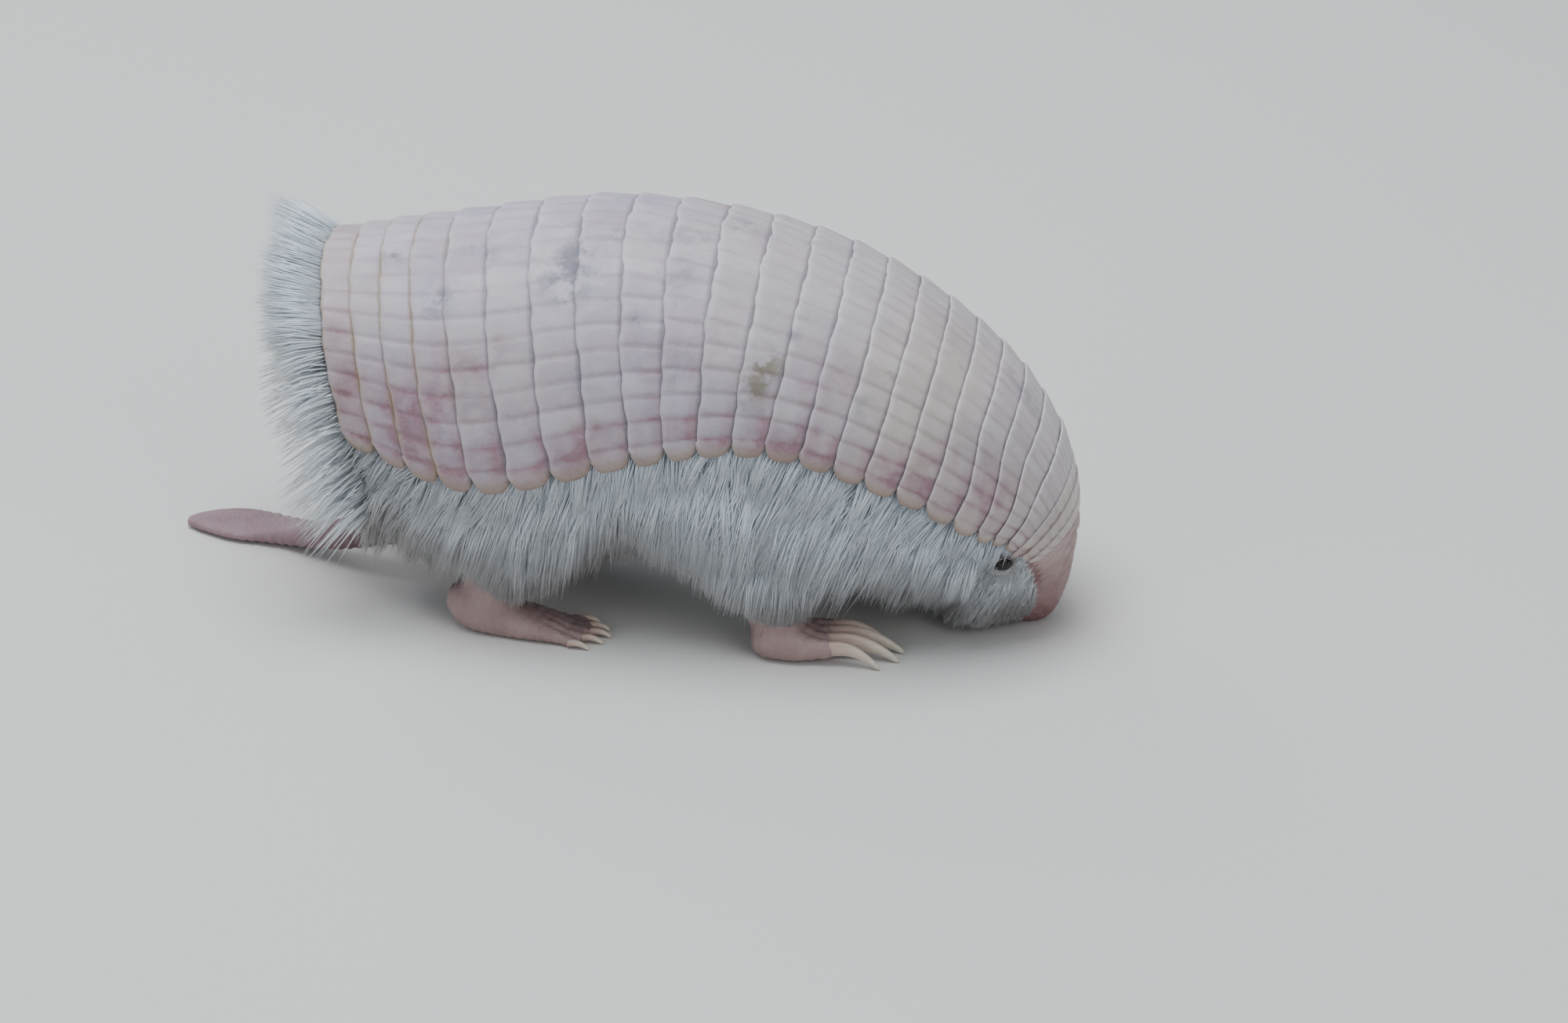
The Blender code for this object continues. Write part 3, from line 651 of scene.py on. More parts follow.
points, uv = rump_surface()
rump_faces = loft_faces(*points.shape[:2])
rump = add_mesh("horn_rump_plate", points, rump_faces, RUMP_HORN)
layer = rump.data.uv_layers.new(name="Scutes")
layer.uv.foreach_set("vector", uv.reshape(-1, 2)[np.concatenate(rump_faces)].astype(np.float32).ravel())
for name, value in (("low_end", 0.72), ("lip", 0.0), ("grey", 0.0), ("ochre", 0.0), ("rosy", 0.0)):
    mark(rump, name, np.full(len(rump.data.vertices), value))
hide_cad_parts("rump_plate")


# ---- Skin: one unbroken hide over trunk, neck, head, limbs, ears and tail. It is pink and bare on the
# nose, feet and tail, grows the coat elsewhere, and lies under the shell where the bands cover it.

# x, y, z, half width, half depth (millimetres)
TAIL_ROWS = np.array([
    (-24.0, 0.4, 8.6, 2.2, 2.2), (-27.0, 0.6, 7.4, 2.5, 2.3), (-33.0, 1.4, 5.4, 2.4, 2.2),
    (-39.0, 4.0, 3.0, 2.3, 1.8), (-44.0, 7.2, 1.5, 2.9, 1.5), (-48.0, 9.0, 1.0, 4.0, 1.05),
    (-51.0, 9.7, 0.9, 4.2, 0.95), (-54.0, 10.0, 0.85, 3.4, 0.85), (-56.6, 9.9, 0.8, 2.0, 0.7),
    (-58.1, 9.8, 0.75, 0.8, 0.5),
])
HIND_LEG_ROWS = np.array([
    (-10.5, 9.5, 19.0, 5.2, 8.6), (-11.5, 10.6, 14.0, 4.8, 7.8), (-13.2, 12.2, 9.5, 3.7, 5.4),
    (-14.8, 13.0, 5.8, 2.9, 3.9), (-15.4, 13.2, 3.0, 2.6, 3.0), (-15.4, 13.2, 1.6, 2.2, 2.4),
])
HIND_FOOT_ROWS = np.array([
    (-20.5, 12.8, 4.6, 1.3, 1.3), (-19.2, 12.8, 4.2, 2.4, 2.6), (-16.6, 12.9, 3.1, 3.0, 3.3),
    (-12.8, 13.2, 1.9, 3.1, 2.8), (-8.8, 13.4, 1.3, 3.5, 1.9), (-5.6, 13.6, 0.9, 3.5, 1.2),
])
FORE_LEG_ROWS = np.array([
    (18.5, 10.5, 18.0, 5.2, 9.2), (19.0, 12.0, 13.0, 4.9, 7.8), (20.0, 13.3, 9.2, 3.7, 5.6),
    (20.8, 14.1, 6.2, 3.0, 4.0), (21.2, 14.5, 3.8, 2.8, 3.2), (21.4, 14.5, 2.2, 2.4, 2.6),
])
FORE_FOOT_ROWS = np.array([
    (18.2, 14.6, 2.4, 2.1, 1.3), (19.4, 14.6, 2.3, 3.2, 2.3), (22.0, 14.5, 2.2, 3.9, 2.7),
    (24.8, 14.3, 2.0, 4.1, 2.4), (26.4, 14.2, 1.8, 3.7, 1.7),
])
TOES_X, TOES_Y = -5.0, 13.7     # x and y of the middle hind toe, halfway along
TOE_STEP = 1.42                 # from toe to toe
HIND_TOE_REACH = (3.4, 4.8, 5.2, 4.4, 2.8)      # from there to the tips, from the innermost toe out
TOE_SHARES = (0.0, 0.3, 0.5, 0.72, 0.86)        # places along a toe, and its half sizes there
TOE_SIZES = ((0.75, 0.9), (0.62, 0.8), (0.74, 0.85), (0.60, 0.66), (0.30, 0.34))
# each digging claw's place across the hand, then its length, half width and half depth (millimetres)
FORE_CLAWS = ((-2.9, 7.4, 0.75, 1.15), (-1.05, 9.6, 0.85, 1.45), (0.95, 9.2, 0.85, 1.45),
              (2.85, 7.0, 0.75, 1.15))
FINGER_GAPS = np.array((-1.97, -0.05, 1.90))    # across the hand
FINGER_SHARES = (0.0, 0.4, 0.8, 1.0)
FINGER_SIZES = ((1.05, 1.75), (1.0, 1.55), (0.92, 1.35), (0.72, 1.05))
HAND_Y = 14.2
LEGS_PART = 3 * MM              # legs behind this x are hind legs
UNDER_SHELL = 1.5 * MM          # how far the skin lies inside the shell's outer face
EAR_CENTRE = np.array((44.9, 12.4, 14.2)) * MM
EAR_HALVES = np.array((1.6, 0.7, 2.0)) * MM
EYE_CENTRE = np.array((49.3, 10.6, 12.9)) * MM
EYE_RADIUS = 1.25 * MM
EYE_OPENING = (1.00 * MM, 0.74 * MM)            # half its length and height between the lids
HIDE_STEP = 0.56 * MM


def sweep(rows, side, level=False, rings=36, turns=28):
    """A tube along rows of centre and half sizes, mirrored to a side: each ring is an ellipse square to
    the path, or level as in a leg, and nothing goes under the floor."""
    run = np.concatenate(([0], np.cumsum(np.linalg.norm(np.diff(rows[:, :3], axis=0), axis=1))))
    fine = smooth_rows(np.column_stack((run, rows)), np.linspace(0, run[-1], rings)) * MM
    centres = fine[:, :3]
    tangent = np.gradient(centres, axis=0)
    if level:
        tangent = np.tile((0.0, 0.0, -1.0), (rings, 1))
    tangent /= np.linalg.norm(tangent, axis=1)[:, None]
    across = np.cross(tangent, (1.0, 0.0, 0.0) if level else (0.0, 0.0, 1.0))
    across /= np.linalg.norm(across, axis=1)[:, None]
    over = np.cross(across, tangent)
    turn = np.linspace(0, 2 * math.pi, turns, endpoint=False)
    ring = across[:, None] * (fine[:, 3:4] * np.cos(turn))[..., None]
    ring = ring + over[:, None] * (fine[:, 4:5] * np.sin(turn))[..., None]
    points = centres[:, None] + ring
    points[..., 1] *= side
    points[..., 2] = np.maximum(points[..., 2], 0.0)
    return points if side < 0 else points[:, ::-1]


def coat_depth(station):
    """How far the skin lies inside the tips of the coat: deep on the flank, thin on the face."""
    return np.interp(station, (0, 3, 17, 20, 22, 23.4, 25, 26.4, LAST_STATION),
                     (2.2, 2.7, 2.7, 2.0, 1.3, 0.75, 0.45, 0.12, 0.05)) * MM


def body_hide():
    """The trunk and head as one tube of sections: the shell's arch drawn in by the shell's thickness
    above, the coat's outline drawn in by the coat's depth below, and a smooth change between them."""
    station = np.concatenate((np.linspace(0.15, 21.9, 130), np.linspace(22, LAST_STATION, 80)))[:, None]
    angle = np.linspace(-math.pi, math.pi, 150, endpoint=False)[None, :]
    cover = -UNDER_SHELL + 1.4 * MM * step(23.05, 23.5, station)
    upper = arch(station, angle, cover)
    lower = low_side(station, angle, -coat_depth(station))
    low = step(math.radians(84), math.radians(101), np.abs(angle) + 0 * station)[..., None]
    return upper * (1 - low) + lower * low


def digit(start, tip, shares, sizes, side):
    """A toe or finger: a straight tube from start towards tip, with half sizes at shares of the way."""
    way = np.array(start) + (np.array(tip) - start) * np.array(shares)[:, None]
    return sweep(np.column_stack((way, sizes)), side, turns=16)


def ear(side):
    """A small ball drawn out upwards, most of it under the hair."""
    around = np.linspace(0, 2 * math.pi, 24, endpoint=False)[None, :]
    polar = np.linspace(0.05, math.pi - 0.05, 16)[:, None]
    ball = np.stack((np.sin(polar) * np.cos(around), np.sin(polar) * np.sin(around),
                     np.cos(polar) + 0 * around), axis=-1)
    return (ball * EAR_HALVES + EAR_CENTRE) * (1, side, 1)


def hide_parts():
    """Every closed tube that the hide is made of, each as a grid of its rings."""
    parts = [body_hide(), sweep(TAIL_ROWS, 1, rings=90)]
    for side in (-1, 1):
        parts += [sweep(HIND_LEG_ROWS, side, True), sweep(FORE_LEG_ROWS, side, True),
                  sweep(HIND_FOOT_ROWS, side), sweep(FORE_FOOT_ROWS, side)]
        for number, reach in enumerate(HIND_TOE_REACH):
            spread = (number - 2) * TOE_STEP
            start = (-7.4, 13.5 + spread * 0.92, 1.05)
            tip = (TOES_X + reach, TOES_Y + spread * 1.25, 0.45)
            parts.append(digit(start, tip, TOE_SHARES, TOE_SIZES, side))
        for across, _, _, _ in FORE_CLAWS:
            start = (25.2, HAND_Y + across * 0.92, 2.0)
            tip = (29.0, HAND_Y + across * 1.08, 2.3)
            parts.append(digit(start, tip, FINGER_SHARES, FINGER_SIZES, side))
        parts.append(ear(side))
    return parts


BLOCK = 20000                   # points placed at a time, to spare memory
NUDGE = 0.02                    # stations to either side of a point, to measure a slope


def ahead_of(points, station):
    """How far points, as (x, z), lie ahead of a section's plane through crest and keel."""
    crest, _, keel = section(station)[:3]
    down = (keel - crest) / np.linalg.norm(keel - crest, axis=-1)[..., None]
    away = points - crest
    return away[..., 1] * down[..., 0] - away[..., 0] * down[..., 1]


def place_on_body(points):
    """Station and angle of points, from the body's sections: the station is where a section's plane
    through crest and keel passes the point, found among a row of planes and then closed in on."""
    flat = points[:, (0, 2)]
    planes = np.linspace(0, LAST_STATION, 221)
    stations = np.empty(len(points))
    for start in range(0, len(points), BLOCK):
        ahead = ahead_of(flat[start:start + BLOCK, None], planes)
        nearest = np.clip(np.argmin(np.abs(ahead), axis=1), 1, len(planes) - 2)
        row = np.arange(len(ahead))
        slope = (ahead[row, nearest + 1] - ahead[row, nearest - 1]) / (planes[2] - planes[0])
        miss = ahead[row, nearest] / np.where(slope == 0, 1, slope)
        stations[start:start + BLOCK] = planes[nearest] - miss
    stations = np.clip(stations, 0, LAST_STATION)
    for _ in range(3):
        slope = (ahead_of(flat, stations + NUDGE) - ahead_of(flat, stations - NUDGE)) / (2 * NUDGE)
        miss = ahead_of(flat, stations) / np.where(slope == 0, 1, slope)
        stations = np.clip(stations - np.clip(miss, -0.05, 0.05), 0, LAST_STATION)
    crest, level, keel, half, coat_half = section(stations)
    rise, fall = np.linalg.norm(crest - level, axis=1), np.linalg.norm(keel - level, axis=1)
    height = np.sum((flat - level) * (crest - level), axis=1) / rise
    above = height >= 0
    side = np.abs(points[:, 1]) / np.where(above, half, coat_half)
    along = np.abs(height) / np.where(above, rise, fall)
    angle = np.arctan2(side ** (ARCH_POWER / 2), along ** (ARCH_POWER / 2))
    return stations, np.where(above, angle, math.pi - angle)


def on_foot(points):
    """1 on the bare feet and toes, 0 elsewhere, softened over the ankles."""
    x, y, z = points[:, 0] / MM, np.abs(points[:, 1]) / MM, points[:, 2] / MM
    ankle = np.interp(x, (-17, -12, -8), (9.5, 7.0, 4.6))
    hind = (x > -24) * (x < 4) * step(ankle, ankle - 1.8, z) * (y > 6)
    fore = (x > 14) * (x < 33) * step(6.2, 5.0, z) * (y > 6)
    return np.maximum(hind, fore)


def on_tail(points):
    """1 on the tail, from where it leaves the body."""
    x, y, z = points[:, 0] / MM, points[:, 1] / MM, points[:, 2] / MM
    behind, below = step(-27.5, -29.5, x), step(1.5, 0.5, z - 8.0 - 0.36 * (x + 27))
    return behind * below * step(6, 4, np.abs(y) * (x > -40))


def bare_edge(station):
    """Angle from the crest at which the bare bridge of the nose ends and the furred cheek begins."""
    edge = np.radians(np.interp(station, (22.7, 23.2, 23.6, 24.0, 24.6, 25.4, 26.2, 26.6, 26.9),
                                (86, 84, 76, 69, 62, 59, 61, 78, 200)))
    return edge + 0.030 * np.sin(station * 17) + 0.025 * np.sin(station * 41 + 1)


def bareness(points, station, angle):
    """1 where the hide is naked: nose, the bridge up to the head shield, feet, tail, and thinly furred
    round the tail's root."""
    bridge = step(0.06, -0.06, angle - bare_edge(station)) * step(22.6, 22.9, station)
    vent = step(-19, -24, points[:, 0] / MM) * step(math.radians(138), math.radians(156), angle)
    return np.clip(bridge + vent + on_foot(points) + on_tail(points), 0, 1)


def settle(piece):
    """Turn a piece's modifiers into its mesh, and drop the groups of points that they used."""
    depsgraph = bpy.context.evaluated_depsgraph_get()
    made = bpy.data.meshes.new_from_object(piece.evaluated_get(depsgraph))
    piece.modifiers.clear()
    piece.data = made
    piece.vertex_groups.clear()


def only_at(piece, modifier, chosen):
    """Let a modifier act at the chosen points alone."""
    group = piece.vertex_groups.new(name=modifier.name)
    group.add(np.flatnonzero(chosen).tolist(), 1.0, "REPLACE")
    modifier.vertex_group = group.name


def cut_finer(piece, eye_reach, from_x):
    """Cut in four each face near an eye, and each bare one ahead of from_x."""
    mesh = piece.data
    centres = np.empty(len(mesh.polygons) * 3)
    mesh.polygons.foreach_get("center", centres)
    centres = centres.reshape(-1, 3)
    near_eye = np.linalg.norm(np.abs(centres) - EYE_CENTRE, axis=1) < eye_reach
    naked = bareness(centres, *place_on_body(centres)) > 0.3
    chosen = (near_eye & (centres[:, 0] > 0)) | (naked & (centres[:, 0] > from_x))
    mesh.vertices.foreach_set("select", np.zeros(len(mesh.vertices), bool))
    mesh.edges.foreach_set("select", np.zeros(len(mesh.edges), bool))
    mesh.polygons.foreach_set("select", chosen)
    bpy.context.view_layer.objects.active = piece
    bpy.ops.object.mode_set(mode="EDIT")
    bpy.ops.mesh.select_mode(type="FACE")
    bpy.ops.mesh.subdivide(number_cuts=1)
    bpy.ops.object.mode_set(mode="OBJECT")


def make_hide():
    """Join the tubes, grow them together into one surface of even small faces and smooth it. Thin it out
    where the shell hides it, cut it finer round the eyes and on bare skin, and smooth the face again."""
    points, faces, count = [], [], 0
    for part in hide_parts():
        faces += [[corner + count for corner in face] for face in loft_faces(*part.shape[:2])]
        points.append(part.reshape(-1, 3))
        count += len(points[-1])
    mesh = bpy.data.meshes.new("hide")
    mesh.from_pydata(np.concatenate(points), [], faces)
    hide = bpy.data.objects.new("hide", mesh)
    bpy.context.scene.collection.objects.link(hide)
    grow = hide.modifiers.new("grow", "REMESH")
    grow.mode = "VOXEL"
    grow.voxel_size = HIDE_STEP
    even = hide.modifiers.new("even", "SMOOTH")
    even.factor = 0.5
    even.iterations = 7
    settle(hide)
    station, angle = place_on_body(read_points(hide.data)[0])
    thin = hide.modifiers.new("thin", "DECIMATE")
    thin.ratio = 0.62
    only_at(hide, thin, (station < 22.4) & (angle < math.radians(80)))
    settle(hide)
    cut_finer(hide, 5.0 * MM, cad_low[0])
    cut_finer(hide, 2.6 * MM, 50 * MM)
    soften = hide.modifiers.new("soften", "SMOOTH")
    soften.iterations = 12
    only_at(hide, soften, read_points(hide.data)[0][:, 0] > 47 * MM)
    settle(hide)
    return hide


def model_face(points, normals):
    """Move points along their normals: lids round each eye and a hollow for the eyeball, nostrils, the
    line of the mouth, creases over the nose bridge and knuckles, and small folds of slack skin. Gives
    the points and how much painted shade lies on the lids and round each eye."""
    station, angle = place_on_body(points)
    x, side, z = points[:, 0], np.abs(points[:, 1]), points[:, 2]
    away = np.linalg.norm(np.stack((x, side, z), axis=1) - EYE_CENTRE, axis=1)
    long_way = (x - EYE_CENTRE[0]) * 0.93 + (z - EYE_CENTRE[2]) * 0.36
    short_way = (z - EYE_CENTRE[2]) * 0.93 - (x - EYE_CENTRE[0]) * 0.36
    almond = np.hypot(long_way / EYE_OPENING[0], short_way / EYE_OPENING[1])
    at_eye = (away < 5 * MM) & (x > 0)
    lid = bell(almond - 1.22, 0.26) * 0.50 * MM
    fold = bell(almond - 1.95, 0.25) * -0.12 * MM
    socket = step(1.05, 0.7, almond) * -1.4 * MM
    move = np.where(at_eye, lid + fold + socket, 0)
    # The corner of the eye runs on as a short crease towards the bridge.
    on_crease = step(0.9, 1.4, long_way / MM) * step(3.6, 2.2, long_way / MM)
    move += np.where(at_eye, bell(short_way, 0.22 * MM) * on_crease * -0.25 * MM, 0)
    nostril = np.hypot((side - 1.0 * MM) / (0.42 * MM), (x - 54.1 * MM) / (0.5 * MM))
    move -= np.where(station > 26.9, bell(nostril, 1) * 0.7 * MM, 0)
    on_mouth = step(24.2, 24.8, station) * step(27.0, 26.6, station)
    move -= bell(angle - math.radians(142), 0.045) * on_mouth * 0.35 * MM
    # Slack skin on the bridge: folds across it that fade towards the nose, finer wrinkles over them, and
    # a deep crease along its edge from the eye down.
    inward = bare_edge(station) - angle
    bridge = step(23.45, 23.8, station) * step(-0.05, 0.20, inward)
    ripple = np.sin(station * 19 + 2.0 * np.sin(angle * 3) + 1.5 * np.sin(angle * 11 + station * 4))
    ripple *= np.sin(angle * 5 + station)
    folds = np.sin((station + 0.16 * np.sin(angle * 3.3 + 0.7 * side / MM)) * 9.5)
    folds *= step(25.4, 23.8, station)
    rays = np.sin(angle * 17 + 2.2 * np.sin(station * 3.1)) * step(0.25, 0.6, angle)
    move += bridge * (ripple * 0.04 + folds * 0.15 + rays * 0.05) * MM
    gutter = bell(inward - 0.05, 0.05) * step(22.9, 23.2, station) * step(25.2, 24.0, station)
    move -= gutter * 0.30 * MM
    # Rings round the tail, creases over the feet, and grooves between toes and between fingers.
    rings = np.sin(x / MM * 4.6 + 0.8 * np.sin(points[:, 1] / MM * 1.7))
    move += on_tail(points) * rings * 0.09 * MM
    pad = on_foot(points)
    creases = np.sin(x / MM * 5.0 + side / MM * 1.2 + 0.9 * np.sin(z / MM * 2.3 + x / MM))
    move += pad * creases * 0.05 * MM
    reach = np.clip((x / MM + 7.4) / 6.5, -0.3, 1.2)
    toe = (side / MM - 13.5 - 0.2 * reach) / (1.31 + 0.47 * reach)
    between = bell(toe - np.floor(toe) - 0.5, 0.15) * (np.abs(toe) < 2) * step(-0.3, 0.3, reach)
    move -= pad * (x < 2 * MM) * between * 0.32 * MM
    off_gap = np.min(np.abs(side[:, None] / MM - HAND_Y - FINGER_GAPS), axis=1)
    move -= pad * (x > 14 * MM) * bell(off_gap, 0.30) * step(24.0, 26.0, x / MM) * 0.40 * MM
    # Painted shade: full on the lids, fainter in a ring round the eye.
    rim = np.maximum(step(1.6, 1.15, almond), 0.35 * step(2.3, 1.4, almond))
    return points + normals * move[:, None], np.where(at_eye, rim, 0)


hide = make_hide()
hide_points, hide_normals = read_points(hide.data)
hide_points, hide_lid_shade = model_face(hide_points, hide_normals)
hide_points[:, 2] = np.maximum(hide_points[:, 2], 0.0)
hide.data.vertices.foreach_set("co", hide_points.ravel())
hide.data.update()
hide.data.shade_smooth()


def hollow(points):
    """How much painted shade hair and skin get in the hollows, where shade falls: 1 behind each hind leg,
    under the root of the tail, and less under the belly between the legs."""
    x, side, z = points[:, 0] / MM, np.abs(points[:, 1]) / MM, points[:, 2] / MM
    rear = step(-15.5, -19.0, x) * step(17.0, 11.0, z) * step(3.0, 6.5, z) * step(15.0, 12.0, side)
    belly = 0.7 * step(-9, -3, x) * step(15, 8, x) * step(13.5, 10.5, z) * step(14.5, 12.0, side)
    return np.maximum(rear, belly)


def grey_and_shade_of(points, station, angle):
    """How grey the coat is, from 0, white, to 1: greyer on the face, and darker low down, under the belly,
    between and behind the legs and round the eyes, as painted shade.
    """
    z = points[:, 2] / MM
    # Painted shade low down, under the belly, in the groin and behind the legs.
    low = step(20, 2, z) * 0.55
    belly = step(math.radians(128), math.radians(165), angle) * 0.5
    groin = bell(points[:, 0] / MM - 2, 7) * step(27, 12, z) * 0.50
    low_rear = step(math.radians(112), math.radians(135), angle)
    rear = step(-12, -30, points[:, 0] / MM) * (0.15 + 0.5 * low_rear)
    rear = rear + 0.30 * step(6, -16, points[:, 0] / MM)
    face = step(20.5, 22.5, station) * 0.20
    # Painted shade round each eye.
    eye_ring = np.linalg.norm(np.abs(points) - EYE_CENTRE, axis=1) / MM
    face = face + 0.45 * step(2.9, 1.5, eye_ring) * (points[:, 0] > 0)
    return np.clip(low + belly + groin + rear + face, 0, 1)


def coat_group():
    """Shader group for the marks that skin and coat share: from how grey a place is, painted shade
    included, and patches in Object coordinates, it gives the colour of hair there."""
    group, given, out = new_group("coat_marks", {"White": "Color", "Grey": "Color", "Tone": "Float"},
                                  {"Color": "Color"})
    nodes = Nodes(group)
    patches = nodes.line(nodes.noise(nodes.place(), 170, 4), 0.7, -0.35)
    tone = nodes.plus(given["Tone"], patches, clamp=True)
    nodes.feed(out["Color"], nodes.blend(tone, given["White"], given["Grey"]))
    return group


COAT_MARKS = coat_group()
COAT_WHITE, COAT_GREY_SHADE = "#ecf6ff", "#a5a2a1"


def coat_colour(nodes):
    """The shared marks in one material, from the piece's own greyness and painted shade."""
    values = {"White": COAT_WHITE, "Grey": COAT_GREY_SHADE, "Tone": nodes.read("tone")}
    return nodes.add("Group", values, node_tree=COAT_MARKS).outputs["Color"]


def hide_material():
    """Moist pink skin, rosier on nose, feet and tail root, going to the coat's colour where it grows,
    darkened there as painted shade under the hair.
    """
    made, shader = new_material("hide_skin", {
        "Base Color": "#cf9f97", "Roughness": 0.5, "Subsurface Weight": 0.35,
        "Subsurface Radius": (1.0, 0.4, 0.3), "Subsurface Scale": 0.0012})
    nodes = Nodes(made.node_tree)
    place = nodes.place()
    blotch, pores, creases = (nodes.noise(place, *kind) for kind in ((260, 4), (2600, 4), (1000, 5)))
    pink = nodes.blend(nodes.line(blotch, 0.80, nodes.read("flush"), clamp=True), "#aa9592", "#7a5555")
    # The tail is more lilac than the face and the feet.
    tailward = nodes.ramp(nodes.add("SeparateXYZ", {0: place}).outputs["X"], -0.022, -0.036, "LINEAR")
    pink = nodes.blend(tailward, pink, (0.88, 0.86, 1.0, 1.0), "MULTIPLY")
    shaded_under_hair = nodes.blend(1.0, coat_colour(nodes), (0.74, 0.72, 0.71, 1.0), "MULTIPLY")
    colour = nodes.blend(nodes.read("bare"), shaded_under_hair, pink)
    # Painted shade in dark brown: on the lids and round the eyes, in the hollows and at the tail's root.
    colour = nodes.blend(nodes.read("lid"), colour, "#4f4542")
    nodes.feed(shader.inputs["Base Color"], colour)
    nodes.feed(shader.inputs["Roughness"], nodes.line(pores, 0.3, 0.33))
    nodes.relief(shader, nodes.plus(pores, creases), 0.14 * MM, 0.9)
    return made


hide_station, hide_angle = place_on_body(hide_points)
hide_bare = bareness(hide_points, hide_station, hide_angle)
mark(hide, "bare", hide_bare)
# The lid number is painted shade: round the eyes, in the hollows, and at the root of the tail.
root_shade = 0.38 * step(-43, -32, hide_points[:, 0] / MM) * on_tail(hide_points)
mark(hide, "lid", np.maximum.reduce((hide_lid_shade, 0.60 * hollow(hide_points), root_shade)))
mark(hide, "tone", grey_and_shade_of(hide_points, hide_station, hide_angle))
# How rosy the bare skin is: along the nose, in the crease at its edge, on the feet and on the tail.
hide_flush = np.interp(hide_station, (23.1, 23.8, 24.6, 25.6, 27.2), (-0.34, -0.22, 0.12, 0.30, 0.52))
crease_line = bell(bare_edge(hide_station) - hide_angle - 0.04, 0.09)
hide_flush += 0.65 * crease_line * step(22.7, 23.0, hide_station) * step(25.4, 24.2, hide_station)
hide_flush = np.where(hide_points[:, 0] < 33 * MM, 0.02, hide_flush)
tail_flush = 0.10 + 0.5 * step(-44, -30, hide_points[:, 0] / MM)
hide_flush = np.where(hide_points[:, 0] < -22 * MM, tail_flush, hide_flush)
mark(hide, "flush", hide_flush)
hide.data.materials.append(hide_material())
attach(hide, "root")
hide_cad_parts("trunk", "neck", "head", "muzzle", "nose", "tail", "ear_left", "ear_right",
            "hind_leg_left", "hind_leg_right", "hind_foot_left", "hind_foot_right",
            "fore_leg_left", "fore_leg_right", "fore_foot_left", "fore_foot_right")


# ---- Eyes: small glossy near-black balls, wet on the outside. Each sits in the hollow between its lids
# and shows little more than its front.
def eye_material():
    """Wet dark eye: brown-black, clouded a little."""
    made, shader = new_material("eye_wet", {
        "Base Color": "#0d0a09", "Roughness": 0.06, "Specular IOR Level": 0.35})
    nodes = Nodes(made.node_tree)
    clouds = nodes.noise(nodes.place(), 900, 2)
    nodes.feed(shader.inputs["Base Color"], nodes.blend(clouds, "#070505", "#1e1613"))
    return made


def eyeball(side):
    """A ball whose front bulges a little more than a sphere does, as a cornea does."""
    polar = np.linspace(0.03, math.pi - 0.03, 28)[:, None]
    turn = np.linspace(0, 2 * math.pi, 40, endpoint=False)[None, :]
    bulge = 1 + 0.05 * bell(polar, 0.6)
    ball = np.stack((np.sin(polar) * np.cos(turn), np.cos(polar) + 0 * turn,
                     np.sin(polar) * np.sin(turn)), axis=-1) * (EYE_RADIUS * bulge)[..., None]
    points = ball + EYE_CENTRE
    points[..., 1] *= side
    return points[:, ::-1] if side < 0 else points


EYE_WET = eye_material()
for word, side in (("left", 1), ("right", -1)):
    points = eyeball(side)
    eye = add_mesh(f"eyeball_{word}", points, loft_faces(*points.shape[:2]), EYE_WET)
    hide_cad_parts(f"eye_{word}")


# ---- Claws: four long flat digging blades on each hand and a short nail on each hind toe, of dense
# yellowish horn that grows out of the toe and wears pale and translucent at its tip.
TIP_WIDE, TIP_DEEP = 0.22, 0.26  # half sizes of the blunt tip, in millimetres


def claw_material():
    """Horn with growth lines along the blade, pinkish at the quick and paler to the tip."""
    made, shader = new_material("claw_horn", {
        "Base Color": "#d9cbb6", "Roughness": 0.35, "Subsurface Weight": 0.3, "Subsurface Scale": 0.0008})
    nodes = Nodes(made.node_tree)
    drawn_out = nodes.add("Mapping", {"Vector": nodes.place(), "Scale": (0.12, 1.0, 1.0)})
    lines = nodes.noise(drawn_out.outputs["Vector"], 3800, 3)
    horn = nodes.blend(nodes.read("along"), "#c2a296", "#e6ddcb")
    nodes.feed(shader.inputs["Base Color"], nodes.blend(0.35, horn, lines, "MULTIPLY"))
    nodes.relief(shader, lines, 0.05 * MM)
    return made


def claw_blade(root, across_way, length, width, depth, side):
    """A blade in millimetres: its middle line rises, bends down and touches the floor at the tip, and its
    section is an oval sharpened below, which shrinks along it to a blunt point. The root gives x, y and
    z, how far the line rises and how far it then falls."""
    t = np.linspace(0, 1, 26)[:, None]
    turn = np.linspace(0, 2 * math.pi, 20, endpoint=False)[None, :]
    shrink = np.where(t < 1, (1 - t) ** 0.6, 0)
    wide = TIP_WIDE + (width - TIP_WIDE) * shrink
    deep = TIP_DEEP + (depth - TIP_DEEP) * shrink
    x = root[0] + length * t + 0 * turn
    y = root[1] + across_way * t + wide * np.cos(turn) * (1 - 0.25 * np.clip(-np.sin(turn), 0, 1))
    z = root[2] + root[3] * np.sin(math.pi * t * 0.9) - root[4] * t ** 2 + deep * np.sin(turn)
    points = np.stack((x, y * side, np.maximum(z, 0.02)), axis=-1) * MM
    return (points if side > 0 else points[:, ::-1]), np.repeat(t, turn.shape[1], axis=1)


